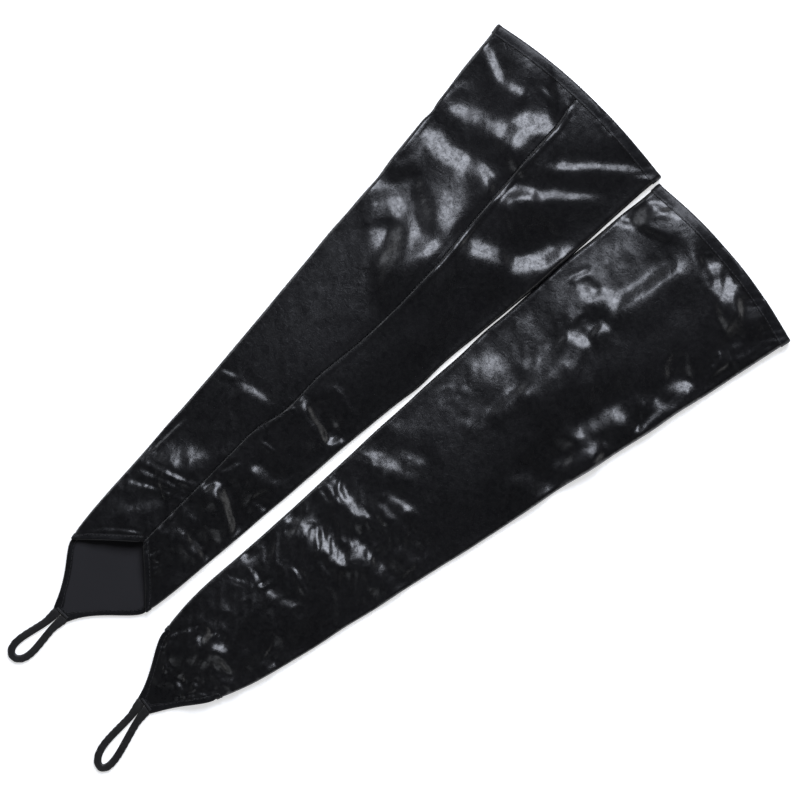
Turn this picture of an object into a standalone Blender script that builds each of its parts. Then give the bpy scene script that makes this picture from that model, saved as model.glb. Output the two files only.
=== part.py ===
# A pair of long fingerless gloves in glossy coated cloth, laid flat side by side.
#
# Each glove is one cloth panel rolled into a tapering tube and closed by a seam down the
# palm side. At the hand end the back of the tube runs out into a point that carries a
# finger loop, and the palm side is cut back into a notch. Bindings finish both ends.
#
# Metres, +Z up, the gloves lie on Z = 0. +Y runs from the hand ends to the arm openings.
# The left glove lies palm side up and shows its seam; the right one lies palm side down.

import math

import bmesh
import bpy
from mathutils import Vector

# Thicknesses and clearances
CLOTH = 0.0006  # coated cloth of the panel and of its bindings
ELASTIC = 0.0007  # elastic tape inside the arm binding
THREAD = 0.0005  # topstitching thread, diameter
SEAM_THREAD = 0.0004  # thread that closes the palm seam, diameter
FIT = 0.0003  # clearance between layers that are sewn together
FLOOR_CLEARANCE = 0.00005  # what keeps stitching clear of the surface below

# Pattern of one glove
SLEEVE_LENGTH = 0.500  # hand corners to arm edge
ARM_EDGE_CROWN = 0.006  # how far the arm edge bows out in its middle
POINT_LENGTH = 0.0465  # hand corners to the tip of the back-of-hand point
POINT_TIP_HALF = 0.0070  # half the width of that tip
POINT_SPREAD = 0.0105  # how far the point's outline opens out above its tip
NOTCH_DEPTH = 0.036  # hand corners to the top of the palm notch
SEAM_ALLOWANCE = 0.006  # cloth turned in on each side of the palm seam
HAND_BAND = 0.004  # width of the hand binding
ARM_BAND = 0.008  # width of the arm binding
ELASTIC_WIDTH = 0.006
STITCH_INSET = 0.001  # stitch line to the free edge of a binding

# Soft shape of a glove that lies flat
HAND_FOLD = 0.0022  # radius of the side folds at the hand end
ARM_FOLD = 0.0036  # and at the arm end
PINCH_REACH = 0.022  # how far up the sleeve the hand end is drawn in
POINT_DROP_START = 0.035  # where a point on the upper side starts to fall to the table
FULLNESS_REACH = 0.120  # run over which the upper side turns from a hump to a flat arch
LIFT_REACH = 0.050  # run over which a bound end comes down to the table
HAND_SHIFT_REACH = 0.100  # run over which the hand end's sideways shift fades out
SWELL_POWER = 1.3  # above 1 moves the widest place of the inner side's swell towards the arm

# Finger loop: a flat rouleau strip
LOOP_OUTER_HALF = 0.0097  # half the loop's width, outside
LOOP_STRIP_WIDTH = 0.0058
LOOP_STRIP_HEIGHT = 0.0024
LOOP_LEAD = 0.0012  # straight run of both strands at the tip
BARTACK_HALF = 0.0055  # half the width of the zigzag that holds the loop
BARTACK_ZIGS = 7

# How the pair lies
PAIR_GAP = 0.0012  # between the two arm bindings
RIGHT_GLOVE_AHEAD = 0.0015  # the right hand end lies this far up from the left one

LEFT = {
    "name": "left",
    "side": -1,
    "splay": math.radians(4.0),  # how far it leans away from the other glove
    "palm_up": True,
    "wrist_half": 0.0423,
    "arm_half": 0.0834,
    "taper": 0.71,  # 1 is a straight taper, less is hollow, more is full
    "pinch": 0.0016,
    "hand_shift": -0.0014,
    "inner_swell": 0.0030,  # how far the side towards the other glove swells out
    "hand_rise": 0.0095,
    "arm_rise": 0.0170,
    "seam_bow": 0.0090,
    "arm_slant": 0.002,
    "tip_shift": -0.0050,
    "loop_length": 0.0492,
    "loop_turn": math.radians(4.0),
}
RIGHT = {
    "name": "right",
    "side": 1,
    "splay": math.radians(4.2),
    "palm_up": False,
    "wrist_half": 0.0375,
    "arm_half": 0.0764,
    "taper": 1.10,
    "pinch": 0.0038,
    "hand_shift": -0.0014,
    "inner_swell": 0.0024,
    "hand_rise": 0.0105,
    "arm_rise": 0.0180,
    "seam_bow": 0.0,
    "arm_slant": 0.0035,
    "tip_shift": 0.0034,
    "loop_length": 0.0560,
    "loop_turn": math.radians(-16.3),
}

# Colour, roughness
COATED_CLOTH = ("coated_cloth", (0.012, 0.012, 0.014, 1.0), 0.28)
LOOP_CLOTH = ("loop_cloth", (0.014, 0.013, 0.013, 1.0), 0.45)
BINDING_CLOTH = ("binding_cloth", (0.013, 0.013, 0.015, 1.0), 0.35)
BLACK_ELASTIC = ("black_elastic", (0.020, 0.020, 0.022, 1.0), 0.85)
BLACK_THREAD = ("black_thread", (0.018, 0.018, 0.020, 1.0), 0.60)

# Depths are measured inwards from the outer face of the sleeve cloth.
SLEEVE_DEPTH = CLOTH / 2
TURNED_DEPTH = CLOTH + FIT + CLOTH / 2  # seam allowances, and the hand binding's inside
OUTSIDE_DEPTH = -(FIT + CLOTH / 2)  # outer layer of a binding
ELASTIC_DEPTH = CLOTH + FIT + ELASTIC / 2
ARM_INSIDE_DEPTH = CLOTH + FIT + ELASTIC + FIT + CLOTH / 2
STITCH_DEPTH = OUTSIDE_DEPTH - CLOTH / 2 - FIT - THREAD / 2
END_LIFT = THREAD / 2 - STITCH_DEPTH + FLOOR_CLEARANCE
SLIT_HALF = SEAM_THREAD / 2 + FIT  # half the open slit between the two folded seam edges
POINT_INSIDE = TURNED_DEPTH + CLOTH / 2  # how far a bound point reaches in from its outer face

OUTLINE_STEPS = (0.88, 0.74, 0.60, 0.47, 0.35, 0.24, 0.15, 0.08)  # along the point's side, tip to corner
FOLD_STATIONS = (0.0, 0.16, 0.32, 0.48, 0.64, 0.82, 1.0)
PALM_STATIONS = (0.08, 0.18, 0.30, 0.45, 0.62, 0.80, 1.0)
HAND_ROWS = (0.0, 0.05, 0.12, 0.22, 0.34, 0.48, 0.64, 0.82, 1.0)
ARM_ROWS = 9
LOOP_STATIONS = 32
STRIP_SIDES = 10


def row_v(row, cut, edge):
    """v of a row of the sleeve's grid, closer together near the hand end."""
    hand_zone = NOTCH_DEPTH + HAND_BAND + SEAM_ALLOWANCE + FIT
    if row < len(HAND_ROWS):
        return mix(cut, hand_zone, HAND_ROWS[row])
    if row < len(HAND_ROWS) + ARM_ROWS:
        return mix(hand_zone, edge - ARM_BAND, (row - len(HAND_ROWS) + 1) / ARM_ROWS)
    return edge


def smooth(x):
    """0 below 0, 1 above 1, and an even S between."""
    x = min(max(x, 0.0), 1.0)
    return x * x * (3 - 2 * x)


def mix(a, b, share):
    return a + (b - a) * share


# ---- The soft tube -------------------------------------------------------------------
# A point on a glove is given by s, its distance round the tube from the middle of the back
# as measured at the hand corners, by v, its distance up the sleeve, and by its depth.


def half_width(glove, v):
    """Half the flat width of the tube."""
    share = v / SLEEVE_LENGTH if v > 0 else 0.0
    spread = mix(share * share, share, glove["taper"])
    pinch = glove["pinch"] * math.exp(-((max(v, 0.0) / PINCH_REACH) ** 2))
    return mix(glove["wrist_half"], glove["arm_half"], spread) - pinch


def fold_radius(v):
    return mix(HAND_FOLD, ARM_FOLD, min(max(v / SLEEVE_LENGTH, 0.0), 1.0))


def flat_half(glove, v):
    """Half the width between the side folds."""
    return half_width(glove, v) - fold_radius(v)


def lift(v):
    """Height of the lower side: both bound ends stand off the table by their stitching."""
    hand = 1 - smooth((v - NOTCH_DEPTH) / LIFT_REACH)
    arm = smooth((v - SLEEVE_LENGTH + LIFT_REACH) / (LIFT_REACH - ARM_BAND))
    return END_LIFT * (hand + arm)


def upper_height(glove, ratio, v):
    """Height of the upper side. Past the hand corners it is a point that falls to the table."""
    radius = fold_radius(v)
    rise = mix(glove["hand_rise"], glove["arm_rise"], smooth(v / SLEEVE_LENGTH))
    fullness = mix(2.0, 4.0, smooth(v / FULLNESS_REACH))
    crown = (1 - min(abs(ratio), 1.0) ** fullness) ** 2
    height = lift(v) + 2 * radius + (rise - 2 * radius) * crown
    if glove["palm_up"]:
        return height
    drop = smooth((POINT_DROP_START - v) / (POINT_DROP_START + POINT_LENGTH))
    share = mix(smooth(-v / POINT_LENGTH), 1.0, crown)
    return mix(height, POINT_INSIDE + FLOOR_CLEARANCE, drop * share)


def sideways(glove, ratio, v):
    """The hand end lies a little to one side, and the side towards the other glove swells out."""
    share = min(max(v / SLEEVE_LENGTH, 0.0), 1.0)
    swell = glove["inner_swell"] * math.sin(math.pi * share**SWELL_POWER) ** 2
    towards_other = (1 - glove["side"] * ratio) / 2
    hand = glove["hand_shift"] * (1 - smooth(v / HAND_SHIFT_REACH))
    return hand - glove["side"] * swell * towards_other


def sheet_point(glove, ratio, v, depth, on_palm):
    """A point on the flat back or palm side; ratio runs from -1 to 1 across it."""
    across = ratio * flat_half(glove, v) + sideways(glove, ratio, v)
    if on_palm:
        bow = math.sin(math.pi * min(max(v / SLEEVE_LENGTH, 0.0), 1.0))
        across += glove["seam_bow"] * bow * (1 - ratio * ratio)
    else:
        across += glove["tip_shift"] * smooth(-v / POINT_LENGTH)
    if on_palm == glove["palm_up"]:
        return Vector((across, v, upper_height(glove, ratio, v) - depth))
    return Vector((across, v, lift(v) + depth))


def fold_point(glove, side, angle, v, depth):
    """A point on a side fold; the angle runs from 0 at the back to pi at the palm."""
    radius = fold_radius(v)
    out = side * flat_half(glove, v) + side * (radius - depth) * math.sin(angle)
    out += sideways(glove, side, v)
    back = -1 if glove["palm_up"] else 1
    up = lift(v) + radius + back * (radius - depth) * math.cos(angle)
    return Vector((out, v, up))


def back_run(glove):
    return flat_half(glove, 0.0)


def fold_run():
    return math.pi * HAND_FOLD


def seam_s(glove):
    """s at the palm seam."""
    return 2 * back_run(glove) + fold_run()


def place(glove, s, v, depth):
    side = 1 if s >= 0 else -1
    run = abs(s)
    if run <= back_run(glove):
        return sheet_point(glove, s / back_run(glove), v, depth, on_palm=False)
    if run < back_run(glove) + fold_run():
        return fold_point(glove, side, (run - back_run(glove)) / HAND_FOLD, v, depth)
    ratio = side * (seam_s(glove) - run) / back_run(glove)
    return sheet_point(glove, ratio, v, depth, on_palm=True)


def beside_seam(glove, side, distance, v, depth):
    """A point at a real distance from the palm seam, which place() would stretch."""
    return sheet_point(glove, side * distance / flat_half(glove, v), v, depth, on_palm=True)


def arm_edge(glove, s):
    """v of the arm edge, which runs at a slant and bows out in the middle of both sides."""
    run = min(abs(s), seam_s(glove) - abs(s))
    ratio = math.copysign(min(max(run, 0.0) / back_run(glove), 1.0), s)
    return SLEEVE_LENGTH + glove["arm_slant"] * ratio + ARM_EDGE_CROWN * (1 - ratio * ratio)


def hand_outline(glove):
    """(s, v) of the cut edge from the tip of the point to the seam, on one side."""
    corner = back_run(glove)
    controls = (
        (corner, 0.0),
        (corner, -0.20 * POINT_LENGTH),
        (POINT_TIP_HALF + POINT_SPREAD, -0.46 * POINT_LENGTH),
        (POINT_TIP_HALF, -POINT_LENGTH),
    )
    outline = [(0.0, -POINT_LENGTH), (POINT_TIP_HALF, -POINT_LENGTH)]
    for t in OUTLINE_STEPS:
        weights = ((1 - t) ** 3, 3 * t * (1 - t) ** 2, 3 * t * t * (1 - t), t**3)
        outline.append(
            tuple(sum(w * c[axis] for w, c in zip(weights, controls)) for axis in (0, 1))
        )
    outline += [(corner + fold_run() * share, 0.0) for share in FOLD_STATIONS]
    seam_gap = 2 * SLIT_HALF + CLOTH + FIT  # a binding stops short of the turned seam edge
    for share in PALM_STATIONS:
        run = (back_run(glove) - seam_gap) * share
        outline.append((corner + fold_run() + run, NOTCH_DEPTH * run / back_run(glove)))
    return outline


def both_sides(half):
    """A one-sided outline that starts on the middle line, continued to the other side."""
    return [(-s, v) for s, v in reversed(half[1:])] + half


# ---- Mesh tools ----------------------------------------------------------------------


def material(spec):
    name, colour, roughness = spec
    made = bpy.data.materials.get(name)
    if made is None:
        made = bpy.data.materials.new(name)
        made.use_nodes = True
        surface = made.node_tree.nodes["Principled BSDF"]
        surface.inputs["Base Color"].default_value = colour
        surface.inputs["Roughness"].default_value = roughness
        surface.inputs["Metallic"].default_value = 0.0
    return made


def add_object(name, data, spec, parent, collection):
    made = bpy.data.objects.new(name, data)
    collection.objects.link(made)
    made.parent = parent
    made.data.materials.append(material(spec))
    return made


def cloth_strip(name, point, columns, rows, thickness, spec, parent, collection, ring=False):
    """A grid whose vertices point(column, row) puts in place, thickened to a solid."""
    mesh = bpy.data.meshes.new(name)
    grid = bmesh.new()
    bmesh.ops.create_grid(grid, x_segments=columns - 1, y_segments=rows - 1, size=1.0)
    for vertex in grid.verts:
        column = round((vertex.co.x + 1) / 2 * (columns - 1))
        row = round((vertex.co.y + 1) / 2 * (rows - 1))
        vertex.co = point(column, row)
    if ring:
        bmesh.ops.remove_doubles(grid, verts=grid.verts, dist=1e-6)
    grid.to_mesh(mesh)
    grid.free()
    mesh.shade_smooth()
    made = add_object(name, mesh, spec, parent, collection)
    thicken = made.modifiers.new("thickness", "SOLIDIFY")
    thicken.thickness = thickness
    thicken.offset = 0.0
    thicken.use_even_offset = True
    return made


def thread_line(name, points, diameter, parent, collection, ring=False):
    """A thread as a square tube along the points."""
    curve = bpy.data.curves.new(name, "CURVE")
    curve.dimensions = "3D"
    curve.bevel_depth = diameter / 2
    curve.bevel_resolution = 0
    curve.use_fill_caps = True
    spline = curve.splines.new("POLY")
    spline.points.add(len(points) - 1)
    for target, source in zip(spline.points, points):
        target.co = (*source, 1.0)
    spline.use_cyclic_u = ring
    return add_object(name, curve, BLACK_THREAD, parent, collection)


def notch_stretch(glove):
    """Height of the sloping notch binding, measured up the sleeve, over its width."""
    return math.hypot(1.0, NOTCH_DEPTH / back_run(glove))


def into_cloth(glove, path, index, inset):
    """(s, v) that far from a point of the hand outline into the cloth, or out of it below 0."""
    s, v = path[index]
    if abs(s) > back_run(glove) + fold_run():  # palm notch: straight up
        return s, v + inset * notch_stretch(glove)
    at_fold = abs(s) >= back_run(glove)
    if at_fold and (inset > 0 or abs(s) > back_run(glove)):
        return s, v + inset
    before, here, after = (Vector(path[index + k]) for k in (-1, 0, 1))
    normals = [(b - a).orthogonal().normalized() for a, b in ((before, here), (here, after))]
    move = (normals[0] + normals[1]) / (1 + normals[0].dot(normals[1])) * inset
    return s + move.x, v + move.y


# ---- The pieces of one glove ---------------------------------------------------------


def sleeve(glove, parent, collection):
    """The panel: a tube with a slit at the palm seam, where both edges are turned in."""
    half = hand_outline(glove)
    outline = both_sides(half)
    trim = HAND_BAND * notch_stretch(glove) + FIT  # the allowances start above the binding
    turn = (
        (SEAM_ALLOWANCE, TURNED_DEPTH, trim),
        (SLIT_HALF + CLOTH, TURNED_DEPTH, trim),
        (SLIT_HALF + CLOTH / 2, TURNED_DEPTH - CLOTH / 4, 0.0),
        (SLIT_HALF + CLOTH / 2, SLEEVE_DEPTH + CLOTH / 4, 0.0),
        (SLIT_HALF + CLOTH, SLEEVE_DEPTH, 0.0),
    )
    arm_share = back_run(glove) / flat_half(glove, SLEEVE_LENGTH)
    turned = []
    for distance, depth, up in turn:
        beside = seam_s(glove) - distance * arm_share
        turned.append((1, distance, depth, NOTCH_DEPTH + up, beside))
    columns = [(-1, *column[1:4], -column[4]) for column in turned]
    columns += [(0, s, SLEEVE_DEPTH, cut, s) for s, cut in outline]
    columns += reversed(turned)

    def point(column, row):
        side, where, depth, cut, s = columns[column]
        v = row_v(row, cut, arm_edge(glove, s))
        if side:
            return beside_seam(glove, side, where, v, depth)
        return place(glove, where, v, depth)

    rows = len(HAND_ROWS) + ARM_ROWS + 1
    return cloth_strip(
        glove["name"] + "_sleeve", point, len(columns), rows, CLOTH, COATED_CLOTH, parent, collection
    )


def ring_stations(glove):
    """s round the whole tube, from the seam to the seam."""
    half = [s for s, _ in hand_outline(glove)][:-1] + [seam_s(glove)]
    return [-s for s in reversed(half[1:])] + half


def arm_binding(glove, parent, collection):
    """A strip folded over the arm edge: outer layer, fold and inner layer."""
    stations = ring_stations(glove)
    out = FIT + CLOTH / 2
    profile = (
        (ARM_BAND, OUTSIDE_DEPTH),
        (-out, OUTSIDE_DEPTH),
        (-out, ARM_INSIDE_DEPTH),
        (ARM_BAND, ARM_INSIDE_DEPTH),
    )

    def point(column, row):
        s = stations[column]
        inset, depth = profile[row]
        return place(glove, s, arm_edge(glove, s) - inset, depth)

    name = glove["name"] + "_arm_binding"
    return cloth_strip(
        name, point, len(stations), len(profile), CLOTH, BINDING_CLOTH, parent, collection, ring=True
    )


def arm_elastic(glove, parent, collection):
    """An elastic tape inside the arm binding, whose ends stop at the seam allowances."""
    v = SLEEVE_LENGTH - ARM_BAND / 2
    end_gap = (SEAM_ALLOWANCE + 2 * FIT) * back_run(glove) / flat_half(glove, v)
    half = [s for s, _ in hand_outline(glove)][:-1]
    half.append(seam_s(glove) - end_gap)
    stations = [-s for s in reversed(half[1:])] + half
    margin = (ARM_BAND - ELASTIC_WIDTH) / 2

    def point(column, row):
        s = stations[column]
        inset = margin + row * ELASTIC_WIDTH
        return place(glove, s, arm_edge(glove, s) - inset, ELASTIC_DEPTH)

    name = glove["name"] + "_arm_elastic"
    return cloth_strip(
        name, point, len(stations), 2, ELASTIC, BLACK_ELASTIC, parent, collection
    )


def hand_binding(glove, parent, collection):
    """A strip folded over the whole hand edge, from one side of the seam to the other."""
    path = both_sides(hand_outline(glove))
    out = FIT + CLOTH / 2
    profile = (
        (HAND_BAND, OUTSIDE_DEPTH),
        (-out, OUTSIDE_DEPTH),
        (-out, TURNED_DEPTH),
        (HAND_BAND, TURNED_DEPTH),
    )

    def point(column, row):
        inset, depth = profile[row]
        return place(glove, *into_cloth(glove, path, column, inset), depth)

    name = glove["name"] + "_hand_binding"
    return cloth_strip(
        name, point, len(path), len(profile), CLOTH, BINDING_CLOTH, parent, collection
    )


def threads(glove, parent, collection):
    """Seam thread in its slit, and one line of topstitching on each binding."""
    seam_start = NOTCH_DEPTH + FIT
    seam_end = arm_edge(glove, seam_s(glove))
    seam_depth = (SLEEVE_DEPTH + TURNED_DEPTH) / 2
    rise = [row_v(row, seam_start, seam_end) for row in range(len(HAND_ROWS) + ARM_ROWS + 1)]
    seam = [beside_seam(glove, 1, 0.0, v, seam_depth) for v in rise]
    thread_line(glove["name"] + "_seam_thread", seam, SEAM_THREAD, parent, collection)

    inset = ARM_BAND - STITCH_INSET
    arm = [
        place(glove, s, arm_edge(glove, s) - inset, STITCH_DEPTH) for s in ring_stations(glove)[:-1]
    ]
    thread_line(glove["name"] + "_arm_stitching", arm, THREAD, parent, collection, ring=True)

    path = both_sides(hand_outline(glove))
    inset = HAND_BAND - STITCH_INSET
    hand = [
        place(glove, *into_cloth(glove, path, k, inset), STITCH_DEPTH) for k in range(len(path))
    ]
    thread_line(glove["name"] + "_hand_stitching", hand, THREAD, parent, collection)


def tip_top(glove):
    """Height of the up-facing side of the bound tip, and the depth just above it."""
    v = -POINT_LENGTH
    if glove["palm_up"]:
        depth = TURNED_DEPTH + CLOTH / 2
        return sheet_point(glove, 0.0, v, depth, on_palm=False).z, depth + FIT + THREAD / 2
    depth = OUTSIDE_DEPTH - CLOTH / 2
    return sheet_point(glove, 0.0, v, depth, on_palm=False).z, depth - FIT - THREAD / 2


def bartack(glove, parent, collection):
    """The zigzag of thread across the tip, where the loop's ends are sewn down."""
    depth = tip_top(glove)[1]
    near, far = THREAD, HAND_BAND - STITCH_INSET - THREAD - FIT
    points = []
    for k in range(2 * BARTACK_ZIGS + 1):
        s = mix(-BARTACK_HALF, BARTACK_HALF, k / (2 * BARTACK_ZIGS))
        points.append(place(glove, s, -POINT_LENGTH + (near, far)[k % 2], depth))
    return thread_line(glove["name"] + "_loop_bartack", points, THREAD, parent, collection)


def loop_profile(collection):
    """The strip's flat oval section, swept along every finger loop."""
    curve = bpy.data.curves.new("loop_strip_section", "CURVE")
    spline = curve.splines.new("POLY")
    spline.points.add(STRIP_SIDES - 1)
    for k, target in enumerate(spline.points):
        angle = -2 * math.pi * k / STRIP_SIDES
        across = LOOP_STRIP_WIDTH / 2 * math.cos(angle)
        up = LOOP_STRIP_HEIGHT / 2 * math.sin(angle)
        target.co = (across, up, 0.0, 1.0)
    spline.use_cyclic_u = True
    section = bpy.data.objects.new("loop_strip_section", curve)
    section.hide_render = True
    section.display_type = "WIRE"
    collection.objects.link(section)
    return section


def finger_loop(glove, section, parent, collection):
    """A teardrop loop. Its hinge empty stands on the joint axis, at the top of the tip's edge."""
    top, stitch_depth = tip_top(glove)
    root = sheet_point(glove, 0.0, -POINT_LENGTH, stitch_depth, on_palm=False)
    hinge = bpy.data.objects.new(glove["name"] + "_loop_hinge", None)
    collection.objects.link(hinge)
    hinge.parent = parent
    edge = FIT + CLOTH + FIT / 2  # the binding's fold stands this far beyond the cut edge
    hinge.location = (root.x, -POINT_LENGTH - edge, top + FIT + THREAD + FIT)

    middle_half = LOOP_OUTER_HALF - LOOP_STRIP_WIDTH / 2
    root_half = LOOP_STRIP_WIDTH / 2 + FIT
    # sin(a) sin(a/2) cubed peaks at 0.572 where cos(a/2) is 0.447
    bulge = (middle_half - 0.447 * root_half) / 0.572
    rest = LOOP_STRIP_HEIGHT / 2 + 2 * FLOOR_CLEARANCE
    start = max(rest, top - LOOP_STRIP_HEIGHT / 2 - CLOTH)
    reach = glove["loop_length"] - LOOP_STRIP_WIDTH / 2
    curve = bpy.data.curves.new(glove["name"] + "_finger_loop", "CURVE")
    curve.dimensions = "3D"
    curve.twist_mode = "Z_UP"
    curve.bevel_mode = "OBJECT"
    curve.bevel_object = section
    curve.use_fill_caps = True
    lean = math.tan(glove["loop_turn"])
    path = []
    for k in range(LOOP_STATIONS + 1):
        turn = 2 * math.pi * k / LOOP_STATIONS
        across = root_half * math.cos(turn / 2)
        across += bulge * math.sin(turn) * math.sin(turn / 2) ** 3
        along = -reach * (1 - math.cos(turn)) / 2
        height = mix(start, rest, smooth(-along / (reach / 3)))
        path.append((across + lean * along, along - FIT - LOOP_LEAD, height))
    # Both strands leave the tip at a right angle to its edge.
    path = [(root_half, -FIT, start)] + path + [(-root_half, -FIT, start)]
    spline = curve.splines.new("POLY")
    spline.points.add(len(path) - 1)
    for target, (across, along, height) in zip(spline.points, path):
        target.co = (across, along, height - hinge.location.z, 1.0)
    return add_object(glove["name"] + "_finger_loop", curve, LOOP_CLOTH, hinge, collection)


def build_glove(glove, pair, section, collection):
    base = bpy.data.objects.new(glove["name"] + "_glove", None)
    collection.objects.link(base)
    base.parent = pair
    splay = glove["splay"]
    arm_corner = (glove["arm_half"] + FIT + CLOTH) * math.cos(splay)
    out = arm_corner + PAIR_GAP / 2 - SLEEVE_LENGTH * math.sin(splay)
    ahead = RIGHT_GLOVE_AHEAD if glove is RIGHT else 0.0
    base.location = (glove["side"] * out, ahead, 0.0)
    base.rotation_euler = (0.0, 0.0, -glove["side"] * splay)
    sleeve(glove, base, collection)
    arm_binding(glove, base, collection)
    arm_elastic(glove, base, collection)
    hand_binding(glove, base, collection)
    threads(glove, base, collection)
    bartack(glove, base, collection)
    finger_loop(glove, section, base, collection)


def centre_over_origin(pair, collection):
    """Moves the pair so that its bounding box is centred on the Z axis."""
    bpy.context.view_layer.update()
    graph = bpy.context.evaluated_depsgraph_get()
    corners = []
    for made in collection.objects:
        if made.type in ("MESH", "CURVE"):
            seen = made.evaluated_get(graph)
            shape = seen.to_mesh()
            corners += [seen.matrix_world @ vertex.co for vertex in shape.vertices]
            seen.to_mesh_clear()
    for axis in (0, 1):
        values = [corner[axis] for corner in corners]
        pair.location[axis] -= (min(values) + max(values)) / 2
    bpy.context.view_layer.update()


def main():
    for old in list(bpy.data.objects):
        bpy.data.objects.remove(old, do_unlink=True)
    parts = bpy.data.collections.new("long_fingerless_gloves")
    helpers = bpy.data.collections.new("section_guides")
    for group in (parts, helpers):
        bpy.context.scene.collection.children.link(group)
    pair = bpy.data.objects.new("glove_pair", None)
    parts.objects.link(pair)
    section = loop_profile(helpers)
    for glove in (LEFT, RIGHT):
        build_glove(glove, pair, section, parts)
    centre_over_origin(pair, parts)


main()
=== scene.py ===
# A pair of long black gloves without fingers, laid flat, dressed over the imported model.
import math

import bpy
import numpy as np
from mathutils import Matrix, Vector


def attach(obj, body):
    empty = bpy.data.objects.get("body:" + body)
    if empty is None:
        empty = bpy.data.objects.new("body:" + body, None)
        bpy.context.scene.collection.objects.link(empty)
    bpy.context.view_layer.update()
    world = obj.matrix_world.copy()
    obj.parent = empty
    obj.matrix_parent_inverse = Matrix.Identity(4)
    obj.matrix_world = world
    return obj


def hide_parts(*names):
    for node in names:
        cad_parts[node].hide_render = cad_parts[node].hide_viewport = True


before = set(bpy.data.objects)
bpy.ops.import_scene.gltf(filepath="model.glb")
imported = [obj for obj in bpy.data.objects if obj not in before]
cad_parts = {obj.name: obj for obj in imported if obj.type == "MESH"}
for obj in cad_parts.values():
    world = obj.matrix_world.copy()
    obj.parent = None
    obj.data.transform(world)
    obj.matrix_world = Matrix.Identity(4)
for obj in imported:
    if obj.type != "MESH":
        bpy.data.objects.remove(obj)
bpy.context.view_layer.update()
print("frame loaded with", len(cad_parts), "nodes")

# The pattern that both gloves share, in metres, as the solids have it
pattern = {
    "length": 0.500,  # hand corners to arm edge
    "edgeCrown": 0.006,  # bow of the arm edge
    "pointLength": 0.0465,  # hand corners to the tip of the point
    "tipHalf": 0.0070,
    "tipSpread": 0.0105,  # how far the point's outline opens out above its tip
    "cornerHandle": 0.20,  # handles of that outline's curve as shares of the point's length
    "tipHandle": 0.46,
    "notch": 0.036,  # depth of the palm notch
    "allowance": 0.006,  # cloth turned in beside the palm seam
    "slitHalf": 0.00015,
    "handBand": 0.004,
    "armBand": 0.008,
    "cloth": 0.0006,
    "fit": 0.0003,
    "handFold": 0.0022,  # radius of the side folds at the hand
    "armFold": 0.0036,  # and at the arm
    "pinchReach": 0.022,
    "dropStart": 0.035,
    "fullnessReach": 0.120,
    "liftReach": 0.050,
    "endLift": 0.00175,
    "handShiftReach": 0.100,
    "swellPower": 1.3,
    "slack": 0.80,  # how much of the solids' rise the slack cloth keeps
    "handFullness": 2.0,
    "edgeFullness": 3.0,
    "tipGap": 0.00005,
    "tipFade": 0.012,
    "deepest": 0.8,  # a fold goes down by this share of the cloth's height at most
    "cornerPress": 0.5,  # how much flatter the side folds are at the hand corners
    "cornerReach": 0.006,
    "extraArea": 0.0062,  # point and allowances, less the notch
}
# Depths below the outer face of the sleeve cloth
depths = {"sleeve": 0.0003, "turned": 0.0012, "outside": -0.0006, "elastic": 0.00125}


def smooth(x):  # 0 below 0, 1 above 1, x*x*(3-2x) between
    x = np.clip(x, 0.0, 1.0)
    return x * x * (3 - 2 * x)


def mix(a, b, share):  # a + (b - a) * share
    return a + (b - a) * share


def bell(x):  # exp(-x*x)
    return np.exp(-x * x)


def cloudNoise(x, y, seed):  # random values on a unit lattice, blended with an S curve, -1 to 1
    cells = 64
    table = np.random.default_rng(seed).uniform(-1, 1, (cells, cells))
    column, line = np.floor(x).astype(int), np.floor(y).astype(int)
    a, b = smooth(x - column), smooth(y - line)
    column, line, right, above = column % cells, line % cells, (column + 1) % cells, (line + 1) % cells
    low = mix(table[line, column], table[line, right], a)
    high = mix(table[above, column], table[above, right], a)
    return mix(low, high, b)


def foldTable(rows):  # tenths of a millimetre to metres and hundredths to the steepness itself
    rows = np.array(rows)
    return np.concatenate([rows[:, :7] / 10 / 1000, rows[:, 7:] / 100], axis=1)


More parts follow.
